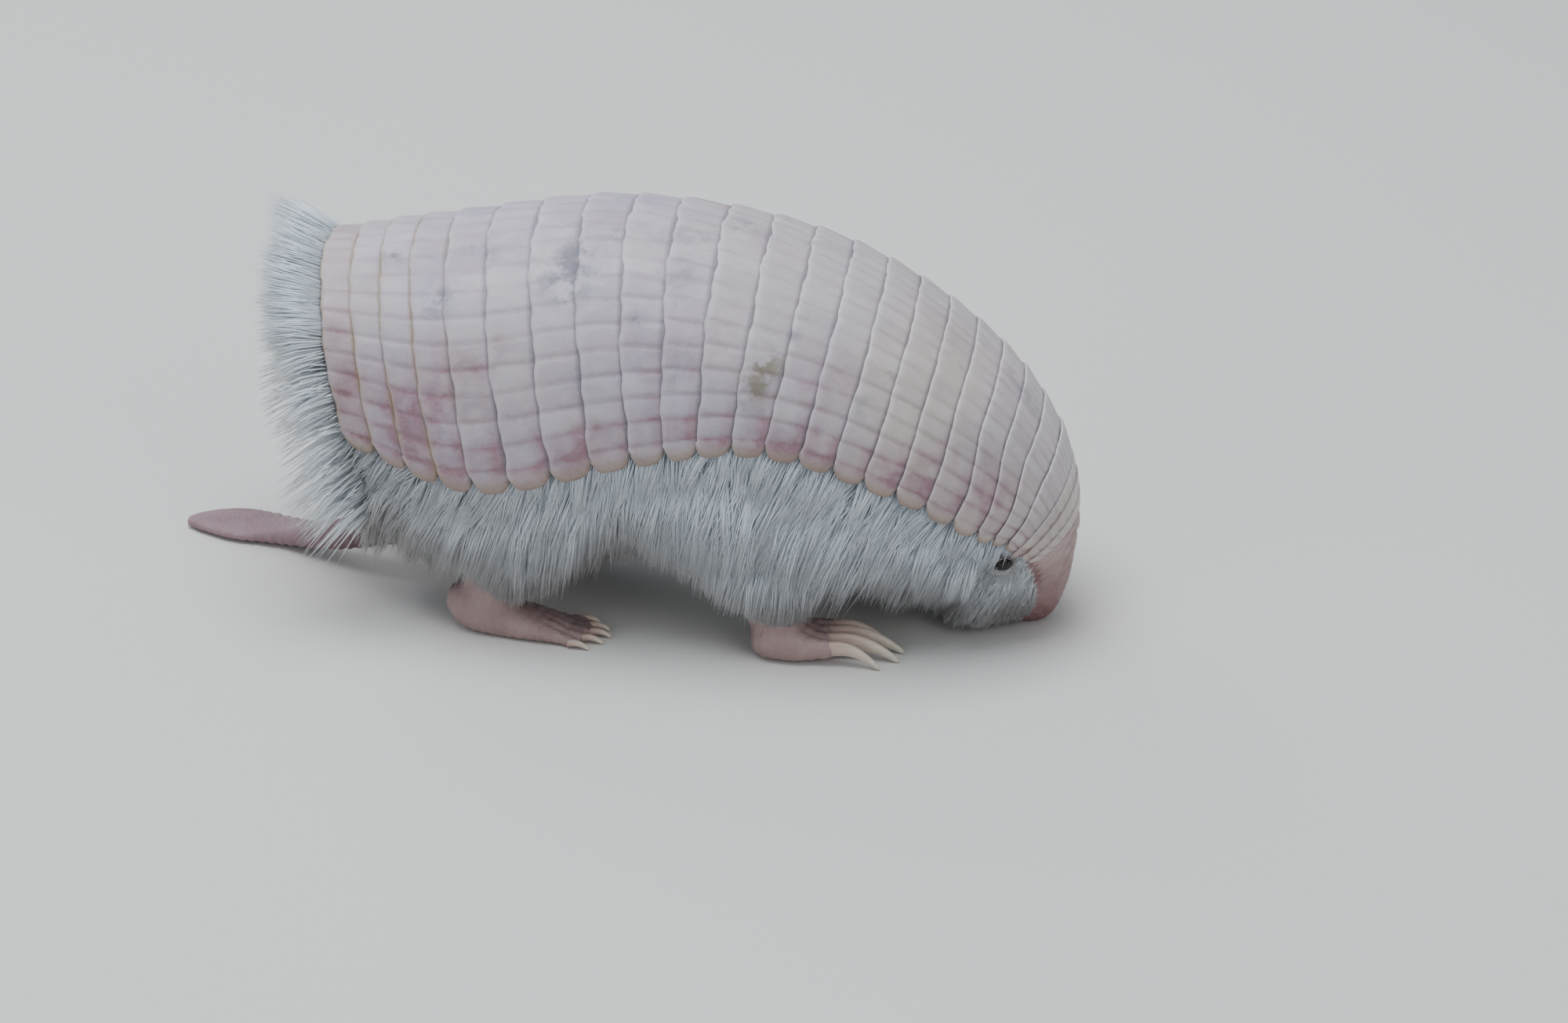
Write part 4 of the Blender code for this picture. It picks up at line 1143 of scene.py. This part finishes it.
CLAW_HORN = claw_material()
for word, side in (("left", 1), ("right", -1)):
    for number, (across, length, width, depth) in enumerate(FORE_CLAWS):
        root = (27.2, HAND_Y + across, 1.9, 1.0, 1.95)
        points, along = claw_blade(root, across * 0.25, length + 0.5, width, depth, side)
        claw = add_mesh(f"digging_claw_{word}_{number + 1}", points, loft_faces(*points.shape[:2]),
                        CLAW_HORN)
        mark(claw, "along", along)
        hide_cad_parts(f"fore_claw_{word}_{number + 1}")
    for number, reach in enumerate(HIND_TOE_REACH):
        spread = (number - 2) * TOE_STEP
        root = (TOES_X + reach - 2.6, TOES_Y + spread * 1.2, 0.75, 0.25, 0.55)
        points, along = claw_blade(root, spread * 0.08, 2.7, 0.48, 0.5, side)
        nail = add_mesh(f"hind_nail_{word}_{number + 1}", points, loft_faces(*points.shape[:2]),
                        CLAW_HORN)
        mark(nail, "along", along)


# ---- Coat: long silky white hair on flanks, belly and limbs, short on the cheeks. It springs from the
# skin in fine locks that lie back and down, and hangs out from under the shell's edge.
LOCK_STEPS = np.array((0.0, 0.5, 1.0))          # along a lock, from root to tip
LOCK_SWELL = np.array((0.8, 1.0, 0.0))          # and its width there
SPARSE = 1.0
HIND_AXIS, FORE_AXIS = -13.0 * MM, 19.5 * MM    # x of the legs' upright axes
LEG_AXIS_Y = 12.5 * MM
# Left, low edge, width and height of the islands on the coat's map: one for the body, one for each
# pair of legs.
BODY_ISLAND, HIND_ISLAND = (0.02, 0.30, 0.96, 0.68), (0.02, 0.02, 0.46, 0.24)
FORE_ISLAND = (0.52, 0.02, 0.46, 0.24)
WHOLE_TURN = 6.3                # radians, and a little more, so that an island's ends stay apart
PATCH = 0.003                   # each lock's own place on the map


def triangles_of(mesh):
    """The three corners of each of a mesh's triangles."""
    mesh.calc_loop_triangles()
    corners = np.empty(len(mesh.loop_triangles) * 3, np.int32)
    mesh.loop_triangles.foreach_get("vertices", corners)
    return corners.reshape(-1, 3)


def leg_axis(points):
    """x of the axis of the leg that is nearest to each point."""
    return np.where(points[:, 0] < LEGS_PART, HIND_AXIS, FORE_AXIS)


hide_points, hide_normals = read_points(hide.data)
hide_corners = triangles_of(hide.data)
hide_tone = grey_and_shade_of(hide_points, hide_station, hide_angle)
off_leg = np.hypot((hide_points[:, 0] - leg_axis(hide_points)) / (11.5 * MM),
                   (np.abs(hide_points[:, 1]) - LEG_AXIS_Y) / (8 * MM))
hide_limb = (step(1.15, 0.9, off_leg) * step(math.radians(100), math.radians(112), hide_angle)
             * step(20, 11, hide_points[:, 2] / MM))


def unwrap(points, station, angle, limb):
    """Where a place on the hide falls on its unwrap: the body by station and angle, a limb by height and
    the turn about its own axis, each in an island of its own."""
    left, low, wide, tall = BODY_ISLAND
    round_body = 0.5 + np.sign(points[:, 1]) * angle / WHOLE_TURN
    body = np.stack((left + wide * station / LAST_STATION, low + tall * round_body), axis=1)
    _, low, wide, tall = HIND_ISLAND
    left = np.where(points[:, 0] < LEGS_PART, HIND_ISLAND[0], FORE_ISLAND[0])
    round_leg = np.arctan2(np.abs(points[:, 1]) - LEG_AXIS_Y, points[:, 0] - leg_axis(points))
    own_half = np.where(points[:, 1] > 0, 0.5, 0.0)
    leg = np.stack((left + wide * (own_half + 0.48 * (round_leg / WHOLE_TURN + 0.5)),
                    low + tall * np.clip(points[:, 2] / (20 * MM), 0, 1)), axis=1)
    return np.where((limb > 0.5)[:, None], leg, body)


def hair_material(name, painted_root_shade, roughness):
    """Silky hair: the shared marks, painted shade at the roots, and a small difference from lock to lock.
    """
    made, shader = new_material(name, {
        "Base Color": COAT_WHITE, "Roughness": roughness, "Specular IOR Level": 0.3,
        "Sheen Weight": 0.35, "Subsurface Weight": 0.30, "Subsurface Radius": (1.0, 1.0, 1.0),
        "Subsurface Scale": 0.0012})
    nodes = Nodes(made.node_tree)
    to_tip = {"Value": nodes.read("along"), "From Max": 0.75, "To Min": painted_root_shade, "To Max": 1.0}
    shade = nodes.times(nodes.add("MapRange", to_tip).outputs["Result"], nodes.read("tint"))
    nodes.feed(shader.inputs["Base Color"], nodes.blend(1.0, coat_colour(nodes), shade, "MULTIPLY"))
    return made


def lock_mesh(name, path, width, facing, tint, tone, uv, material):
    """Locks as one mesh: each is a three-sided blade along its own path, widest near its middle and
    pointed at its tip, and lies on its own patch of the coat's map."""
    count, rings = len(path), len(LOCK_STEPS) - 1
    each = rings * 3 + 1
    along = np.gradient(path, axis=1)
    along /= np.linalg.norm(along, axis=2)[..., None]
    side = np.cross(along, facing[:, None])
    side /= np.linalg.norm(side, axis=2)[..., None] + 1e-12
    over = np.cross(side, along)
    half = (width[:, None] * LOCK_SWELL[None, :] / 2)[..., None]
    ring = np.stack((path + side * half, path + over * half * 0.9, path - side * half), axis=2)
    points = np.concatenate((ring[:, :rings].reshape(count, rings * 3, 3), path[:, rings:]), axis=1)
    quads = [(row * 3 + a, row * 3 + b, row * 3 + 3 + b, row * 3 + 3 + a)
             for row in range(rings - 1) for a, b in ((0, 1), (1, 2), (2, 0))]
    last = rings * 3 - 3
    ends = ((last, last + 1, last + 3), (last + 1, last + 2, last + 3), (last + 2, last, last + 3),
            (2, 1, 0))
    starts = np.arange(count)[:, None, None] * each
    four = (np.array(quads)[None] + starts).reshape(-1, 4)
    three = (np.array(ends)[None] + starts).reshape(-1, 3)
    mesh = bpy.data.meshes.new(name)
    mesh.vertices.add(count * each)
    mesh.vertices.foreach_set("co", points.astype(np.float32).ravel())
    loops = np.concatenate((four.ravel(), three.ravel())).astype(np.int32)
    mesh.loops.add(len(loops))
    mesh.loops.foreach_set("vertex_index", loops)
    sizes = np.concatenate((np.full(len(four), 4), np.full(len(three), 3)))
    mesh.polygons.add(len(sizes))
    mesh.polygons.foreach_set("loop_start", (np.cumsum(sizes) - sizes).astype(np.int32))
    up_lock = np.append(np.repeat(LOCK_STEPS[:-1], 3), 1.0)
    across_lock = np.append(np.tile((0.0, 0.5, 1.0), rings), 0.5)
    patch = (uv[:, None] + np.column_stack((across_lock, up_lock))[None] * PATCH).reshape(-1, 2)
    layer = mesh.uv_layers.new(name="OFBake")
    layer.uv.foreach_set("vector", patch[loops].astype(np.float32).ravel())
    mesh.update(calc_edges=True)
    mesh.materials.append(material)
    mesh.shade_smooth()
    piece = add_piece(name, mesh)
    mark(piece, "along", np.tile(up_lock, count))
    mark(piece, "tint", np.repeat(tint, each))
    mark(piece, "tone", np.concatenate((np.repeat(tone[:, :-1], 3, axis=1), tone[:, -1:]), axis=1))
    return piece


def lie_of_hair(points, normals, station, angle, limb):
    """Direction in which hair lies: back and down, its steepness changing along the body, more back
    than down under the belly, straight down the limbs, and flat to the skin's own slope."""
    steep = np.radians(np.interp(points[:, 0] / MM, (-36, -22, -8, 6, 16, 26, 36, 46, 54),
                                 (44, 52, 72, 84, 74, 62, 54, 60, 70)))
    under = step(math.radians(135), math.radians(170), angle) * (1 - limb)
    steep = steep * (1 - 0.8 * under) + limb * (1.45 - steep) * 0.7
    lie = np.stack((-np.cos(steep), 0 * steep, -np.sin(steep)), axis=1)
    flat = lie - normals * np.sum(lie * normals, axis=1)[:, None]
    flat /= np.linalg.norm(flat, axis=1)[:, None] + 1e-9
    return flat


HEM_X = (-37, -27, -23, -20, -16, -12, -8, -5, -1.5, 2.4, 6.6, 10, 14, 20, 27, 31, 35, 42, 45)
HEM_Z = (15.5, 13, 11, 9.0, 7.2, 4.8, 4.8, 8.0, 12.5, 15.0, 12.0, 9.6, 7.4, 5.2, 4.8, 7.0, 6.5, 2.9, 0)


def hem(x):
    """Lowest height of the hair's tips, in millimetres like x, on the animal's outer sides: the coat
    hangs to just over the feet, leaves heels bare, rises between the legs and towards the tail, and
    reaches the ground at the chin."""
    return np.interp(x, HEM_X, HEM_Z)


CLUMP_TURN, LOCK_TURN = 0.13, 0.07              # radians that a clump, and a lock in it, turns aside
CLUMP_LIFT, LOCK_LIFT = 0.07, 0.05              # radians that either rises off the skin
CLUMP_LONG, LOCK_LONG = (0.85, 1.12), (0.72, 1.12)      # shares of the region's own length
CLUMP_DRAW = (0.20, 0.65)                       # share of the way from a tip to its clump's middle
LOCK_WIDE = (0.7, 1.3)                          # shares of the region's own width
ROOT_DEPTH = 0.15 * MM


def scatter(where, count, chance):
    """Random places on the hide, as dense as where says, each inside one of its triangles. Gives back a
    function that reads any of the hide's values there."""
    corner = hide_points[hide_corners]
    area = np.linalg.norm(np.cross(corner[:, 1] - corner[:, 0], corner[:, 2] - corner[:, 0]), axis=1)
    weight = np.cumsum(area * where[hide_corners].mean(axis=1))
    pick = np.minimum(np.searchsorted(weight, chance.random(count) * weight[-1]), len(weight) - 1)
    share = chance.random((count, 2))
    share = np.where(share.sum(axis=1, keepdims=True) > 1, 1 - share, share)
    share = np.column_stack((1 - share.sum(axis=1), share))
    return lambda values: np.einsum("nc,nc...->n...", share, values[hide_corners[pick]])


def nearest_of(points, seeds):
    """Which of the seeds, which are some of the points, is nearest to each point."""
    nearest = np.empty(len(points), np.int64)
    for start in range(0, len(points), 2000):
        away = points[start:start + 2000, None] - points[seeds][None]
        nearest[start:start + 2000] = np.argmin((away ** 2).sum(axis=2), axis=1)
    return nearest


def grow_coat(name, where, length, material, count, width, lift, clump, seed):
    """Hair over part of the hide: roots fall at random with a density of their own, each lock bends
    from its lifted root into the lie of the coat, and tips draw together in clumps above the hem."""
    chance = np.random.default_rng(seed)
    count = int(count * SPARSE)
    at_roots = scatter(where, count, chance)
    roots, normals = at_roots(hide_points), at_roots(hide_normals)
    normals /= np.linalg.norm(normals, axis=1)[:, None]
    station, angle, limb, tone = map(at_roots, (hide_station, hide_angle, hide_limb, hide_tone))
    flat = lie_of_hair(roots, normals, station, angle, limb)
    seeds = np.arange(0, count, clump)
    nearest = nearest_of(roots, seeds)
    group_turn = chance.normal(0, CLUMP_TURN, len(seeds))[nearest]
    group_lift = chance.normal(0, CLUMP_LIFT, len(seeds))[nearest]
    group_long = chance.uniform(*CLUMP_LONG, len(seeds))[nearest]
    side = np.cross(normals, flat)
    turn = group_turn + chance.normal(0, LOCK_TURN, count)
    way = flat * np.cos(turn)[:, None] + side * np.sin(turn)[:, None]
    long = length(roots, station, angle, limb) * group_long * chance.uniform(*LOCK_LONG, count)
    # A lock rises off the skin, but stays flat where the shell lies over it, and hangs on the flank.
    rise = np.clip(lift + group_lift + chance.normal(0, LOCK_LIFT, count), 0.04, 1.2)
    under_shell = step(math.radians(116), math.radians(96), angle)
    under_shell = under_shell * step(23.3, 22.5, station) * (1 - limb)
    rise = np.minimum(rise * (1 - 0.40 * under_shell), 1.2 - 0.98 * under_shell)
    first = way * np.cos(rise * 1.7)[:, None] + normals * np.sin(rise * 1.7)[:, None]
    final = way * np.cos(rise)[:, None] + normals * np.sin(rise)[:, None]
    on_flank = step(math.radians(96), math.radians(112), angle)
    hang = 0.10 + 0.55 * on_flank * step(math.radians(150), math.radians(130), angle)
    final[:, 2] -= hang * step(23.0, 21.0, station)
    final /= np.linalg.norm(final, axis=1)[:, None]
    # Tips draw towards the middle of their clump, and stop at the hem.
    tips = roots + final * long[:, None]
    heart = roots[seeds][nearest] + final[seeds][nearest] * long[:, None]
    draw = chance.uniform(*CLUMP_DRAW, count) * (1 + 0.9 * step(-10, -22, roots[:, 0] / MM))
    tips = tips + (heart - tips) * draw[:, None]
    lowest = hem(tips[:, 0] / MM) * step(10.5, 14.5, np.abs(tips[:, 1]) / MM) * MM
    room = (roots[:, 2] - lowest) / np.maximum(roots[:, 2] - tips[:, 2], 0.1 * MM)
    keep = np.where(room < 1, np.clip(room * chance.uniform(0.84, 1.10, count), 0.22, 1.05), 1.0)
    long = long * keep
    tips = roots + (tips - roots) * keep[:, None]
    bend = roots + first * long[:, None] * 0.45 + chance.normal(0, 0.018, (count, 3)) * long[:, None]
    u = LOCK_STEPS[None, :, None]
    base = roots - normals * ROOT_DEPTH
    path = base[:, None] * (1 - u) ** 2 + 2 * bend[:, None] * u * (1 - u) + tips[:, None] * u * u
    path[..., 2] = np.maximum(path[..., 2], 0.25 * MM)
    wide = width * chance.uniform(*LOCK_WIDE, count)
    # Painted shade: hair darkens towards the hem, where it hangs near the floor, and in the hollows.
    # Locks in clumps lifted off the skin get a painted highlight: their tint rises with the lift.
    tint = np.clip(chance.normal(1.0, 0.06, count), 0.75, 1.2) + 0.5 * group_lift
    tint = tint * (1 - 0.5 * hollow(roots))
    above_hem = path[..., 2] / MM - hem(path[..., 0] / MM)
    tone = tone[:, None] + 0.60 * step(7.0, 0.5, above_hem)
    lock_mesh(name, path, wide, normals, tint, tone, unwrap(roots, station, angle, limb), material)


SKIRT_LENGTH = 13.0 * MM
SILK = hair_material("coat_silk", 0.84, 0.5)
CHEEK_HAIR = hair_material("coat_cheek", 0.92, 0.6)
# Where hair grows at all: from the shell's edge down, over the face, and not on the eyes or bare skin.
deg = np.degrees(hide_angle)
shell_edge = np.where(hide_station > 21.3, 79, 84)
below_shell = np.maximum(step(shell_edge, shell_edge + 6, deg), step(23.25, 23.5, hide_station))
furred = (1 - hide_bare) * below_shell
eye_away = np.linalg.norm(np.abs(hide_points) - EYE_CENTRE, axis=1) / MM
furred = furred * np.where(hide_points[:, 0] > 0, step(1.25, 1.5, eye_away), 1.0)
to_body = 1 - hide_limb
near_side = hide_points[:, 1] < 0
over_legs = (np.exp(-((hide_points[:, 0] / MM - 19) / 12) ** 4)
             + np.exp(-((hide_points[:, 0] / MM + 12) / 9) ** 4))


def clear_eye(roots, long):
    """Lengths in millimetres, cut above the eye so that hair reaches no further than its upper lid."""
    near_eye = np.linalg.norm(np.abs(roots) - EYE_CENTRE, axis=1) / MM
    uphill = (roots[:, (0, 2)] - EYE_CENTRE[[0, 2]]) * (0.42, 0.91)
    ahead = uphill.sum(axis=1) / MM
    beside = np.sqrt(np.maximum(near_eye ** 2 - ahead ** 2, 0))
    over_eye = (roots[:, 0] > 0) & (ahead > 0) & (beside < 1.5) & (near_eye < 8)
    return np.where(over_eye, np.minimum(long, np.maximum(ahead - 1.15, 0.2)), long)


def flank_length(roots, station, angle, limb):
    """Hair is longest on the flank under the shell's edge and shorter to the head and down the limbs."""
    body = np.interp(station, (0, 2.5, 6, 14, 18, 20.5, 22, 23.4),
                     (8.6, 9.4, 8.8, 8.8, 8.0, 6.2, 4.2, 2.4))
    over_leg = bell(np.abs(roots[:, 0] / MM - 3) - 14, 9) * step(1.85, 2.1, angle) * step(2.7, 2.4, angle)
    body = body * (1 - 0.3 * step(2.2, 2.9, angle)) * (1 + 0.35 * over_leg)
    under_tail = step(math.radians(122), math.radians(140), angle)
    under_tail = step(-16, -23, roots[:, 0] / MM) * under_tail
    body = body * (1 - 0.65 * under_tail)
    leg = np.interp(roots[:, 2] / MM, (2.5, 6, 10, 15), (2.0, 3.4, 5.2, 8.0))
    return clear_eye(roots, body * (1 - limb) + leg * limb) * MM


def skirt_length(roots, station, angle, limb):
    """Long straight hair that hangs from the flank over the legs, cut only by the hem."""
    return np.full(len(roots), SKIRT_LENGTH)


def cheek_length(roots, station, angle, limb):
    """Short on the face, and shortest round the eye."""
    near_eye = np.linalg.norm(np.abs(roots) - EYE_CENTRE, axis=1) / MM
    long = np.interp(station, (21.0, 22.2, 23.2, 24.5, 26.5), (5.6, 4.8, 4.0, 3.0, 1.4))
    return clear_eye(roots, long * np.interp(near_eye, (1.2, 2.0, 4.6), (0.20, 0.34, 1.0))) * MM


trunk = step(21.6, 20.6, hide_station)
behind = hide_points[:, 0] < LEGS_PART
ahead = hide_points[:, 0] > LEGS_PART
for word, side, seed in (("right", near_side, 11), ("left", ~near_side, 12)):
    grow_coat(f"coat_flank_{word}", furred * to_body * trunk * side * step(160, 135, deg), flank_length,
              SILK, count=19400, width=0.16 * MM, lift=0.20, clump=24, seed=seed)
    grow_coat(f"coat_hind_leg_{word}", furred * hide_limb * side * behind, flank_length,
              SILK, count=9500, width=0.15 * MM, lift=0.06, clump=22, seed=seed + 2)
    grow_coat(f"coat_fore_leg_{word}", furred * hide_limb * side * ahead, flank_length,
              SILK, count=9500, width=0.15 * MM, lift=0.06, clump=22, seed=seed + 4)
    low_flank = step(95, 101, deg) * step(124, 114, deg)
    grow_coat(f"coat_skirt_{word}", furred * side * over_legs * low_flank, skirt_length,
              SILK, count=9500, width=0.15 * MM, lift=0.22, clump=26, seed=seed + 8)
    grow_coat(f"coat_cheek_{word}", furred * to_body * step(20.8, 21.8, hide_station) * side,
              cheek_length, CHEEK_HAIR, count=13500, width=0.12 * MM, lift=0.10, clump=12, seed=seed + 6)
grow_coat("coat_belly", furred * to_body * trunk * step(130, 150, deg), flank_length,
          SILK, count=8000, width=0.20 * MM, lift=0.24, clump=18, seed=31)


# ---- Rump fringe: a standing ruff of stiff straight white hair round the shell's rear rim, rooted in
# the gap between rim and rump plate, full at the top and thin low on either side.
FRINGE_LENGTH = 10.8 * MM
FRINGE_LOW_LENGTH = 7.0 * MM
FRINGE_FLARE = math.radians(36)
FRINGE_REACH = math.radians(122)
FRINGE_TOP_SHARE = 0.94         # of the locks stand in the full part over the back
FRINGE_WIDTH = 0.25 * MM
FRINGE_ROOM = 2.8 * MM          # width of the gap that the roots fill
WISPS = 15                      # to a radian of the rim


def grow_fringe(count, seed, material):
    """Straight locks: the root lies across the width of the gap, the tip stands back and outward, the
    more outward the nearer the rim, and the length falls towards the ends."""
    chance = np.random.default_rng(seed)
    count = int(count * SPARSE)
    dense = chance.random(count) < FRINGE_TOP_SHARE
    over_back = np.abs(0.40 * chance.random(count) ** 0.9 + chance.normal(0, 0.05, count))
    spread = np.where(dense, over_back, 0.34 + 0.66 * chance.random(count)) * FRINGE_REACH
    angle = spread * np.where(chance.random(count) < 0.5, -1, 1)
    off_top = np.abs(angle)
    depth = chance.random(count)
    low = step(math.radians(85), math.radians(108), off_top)[:, None]
    rim = arch(0.0, angle, -0.35 * MM) * (1 - low) + low_side(0.0, angle, -0.35 * MM) * low
    outward = rim - rim_middle
    outward /= np.linalg.norm(outward, axis=1)[:, None]
    roots = rim - outward * (depth * FRINGE_ROOM)[:, None] - rim_back * 0.3 * MM
    lowness = step(math.radians(38), math.radians(66), off_top)
    # Locks gather into wisps, each with its own turn, flare and length.
    wisp = np.round(angle * WISPS + chance.normal(0, 0.30, count)) / WISPS
    flare = FRINGE_FLARE * (1 - 0.75 * depth) + chance.normal(0, 0.06, count)
    flare = flare + (0.05 + 0.03 * lowness) * np.sin(wisp * 173.3)
    around = np.cross(outward, rim_back)
    gather = (0.07 + 0.09 * lowness) * np.sin(wisp * 311.7) + chance.normal(0, 0.05, count)
    gather = gather + (wisp - angle) * (1.9 + 0.9 * lowness)
    way = rim_back * np.cos(flare)[:, None] + outward * np.sin(flare)[:, None] + around * gather[:, None]
    long = FRINGE_LENGTH + (FRINGE_LOW_LENGTH - FRINGE_LENGTH) * step(0.9, 2.1, off_top)
    long = long - 1.4 * MM * step(0.5, 0.0, off_top)
    corner = step(math.radians(92), math.radians(104), off_top)
    long = long * chance.uniform(0.68, 1.0, count) * (1 + (0.09 + 0.08 * lowness) * np.sin(wisp * 97))
    long = long * (1 - 0.45 * depth * (1 - lowness)) * (1 + 0.35 * corner)
    sag = np.array((0, 0, -1.0)) * (long * (0.03 + 0.20 * lowness))[:, None]
    u = LOCK_STEPS[None, :, None]
    path = roots[:, None] + way[:, None] * long[:, None, None] * u + sag[:, None] * u * u
    tint = np.clip(chance.normal(1.0, 0.035, count), 0.85, 1.1)
    tone = np.clip(0.30 * lowness + chance.normal(0, 0.04, count), 0, 1)[:, None] + 0 * LOCK_STEPS
    wide = FRINGE_WIDTH * chance.uniform(*LOCK_WIDE, count)
    _, low_edge, _, tall = BODY_ISLAND
    uv = np.column_stack((0.985 + 0 * angle, low_edge + tall * (0.5 + angle / WHOLE_TURN)))
    fringe = lock_mesh("rump_fringe", path, wide, outward, tint, tone, uv, material)
    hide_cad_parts("fringe_right_low", "fringe_right_high", "fringe_top", "fringe_left_high",
                "fringe_left_low")


grow_fringe(13000, 51, hair_material("fringe_hair", 1.0, 0.45))
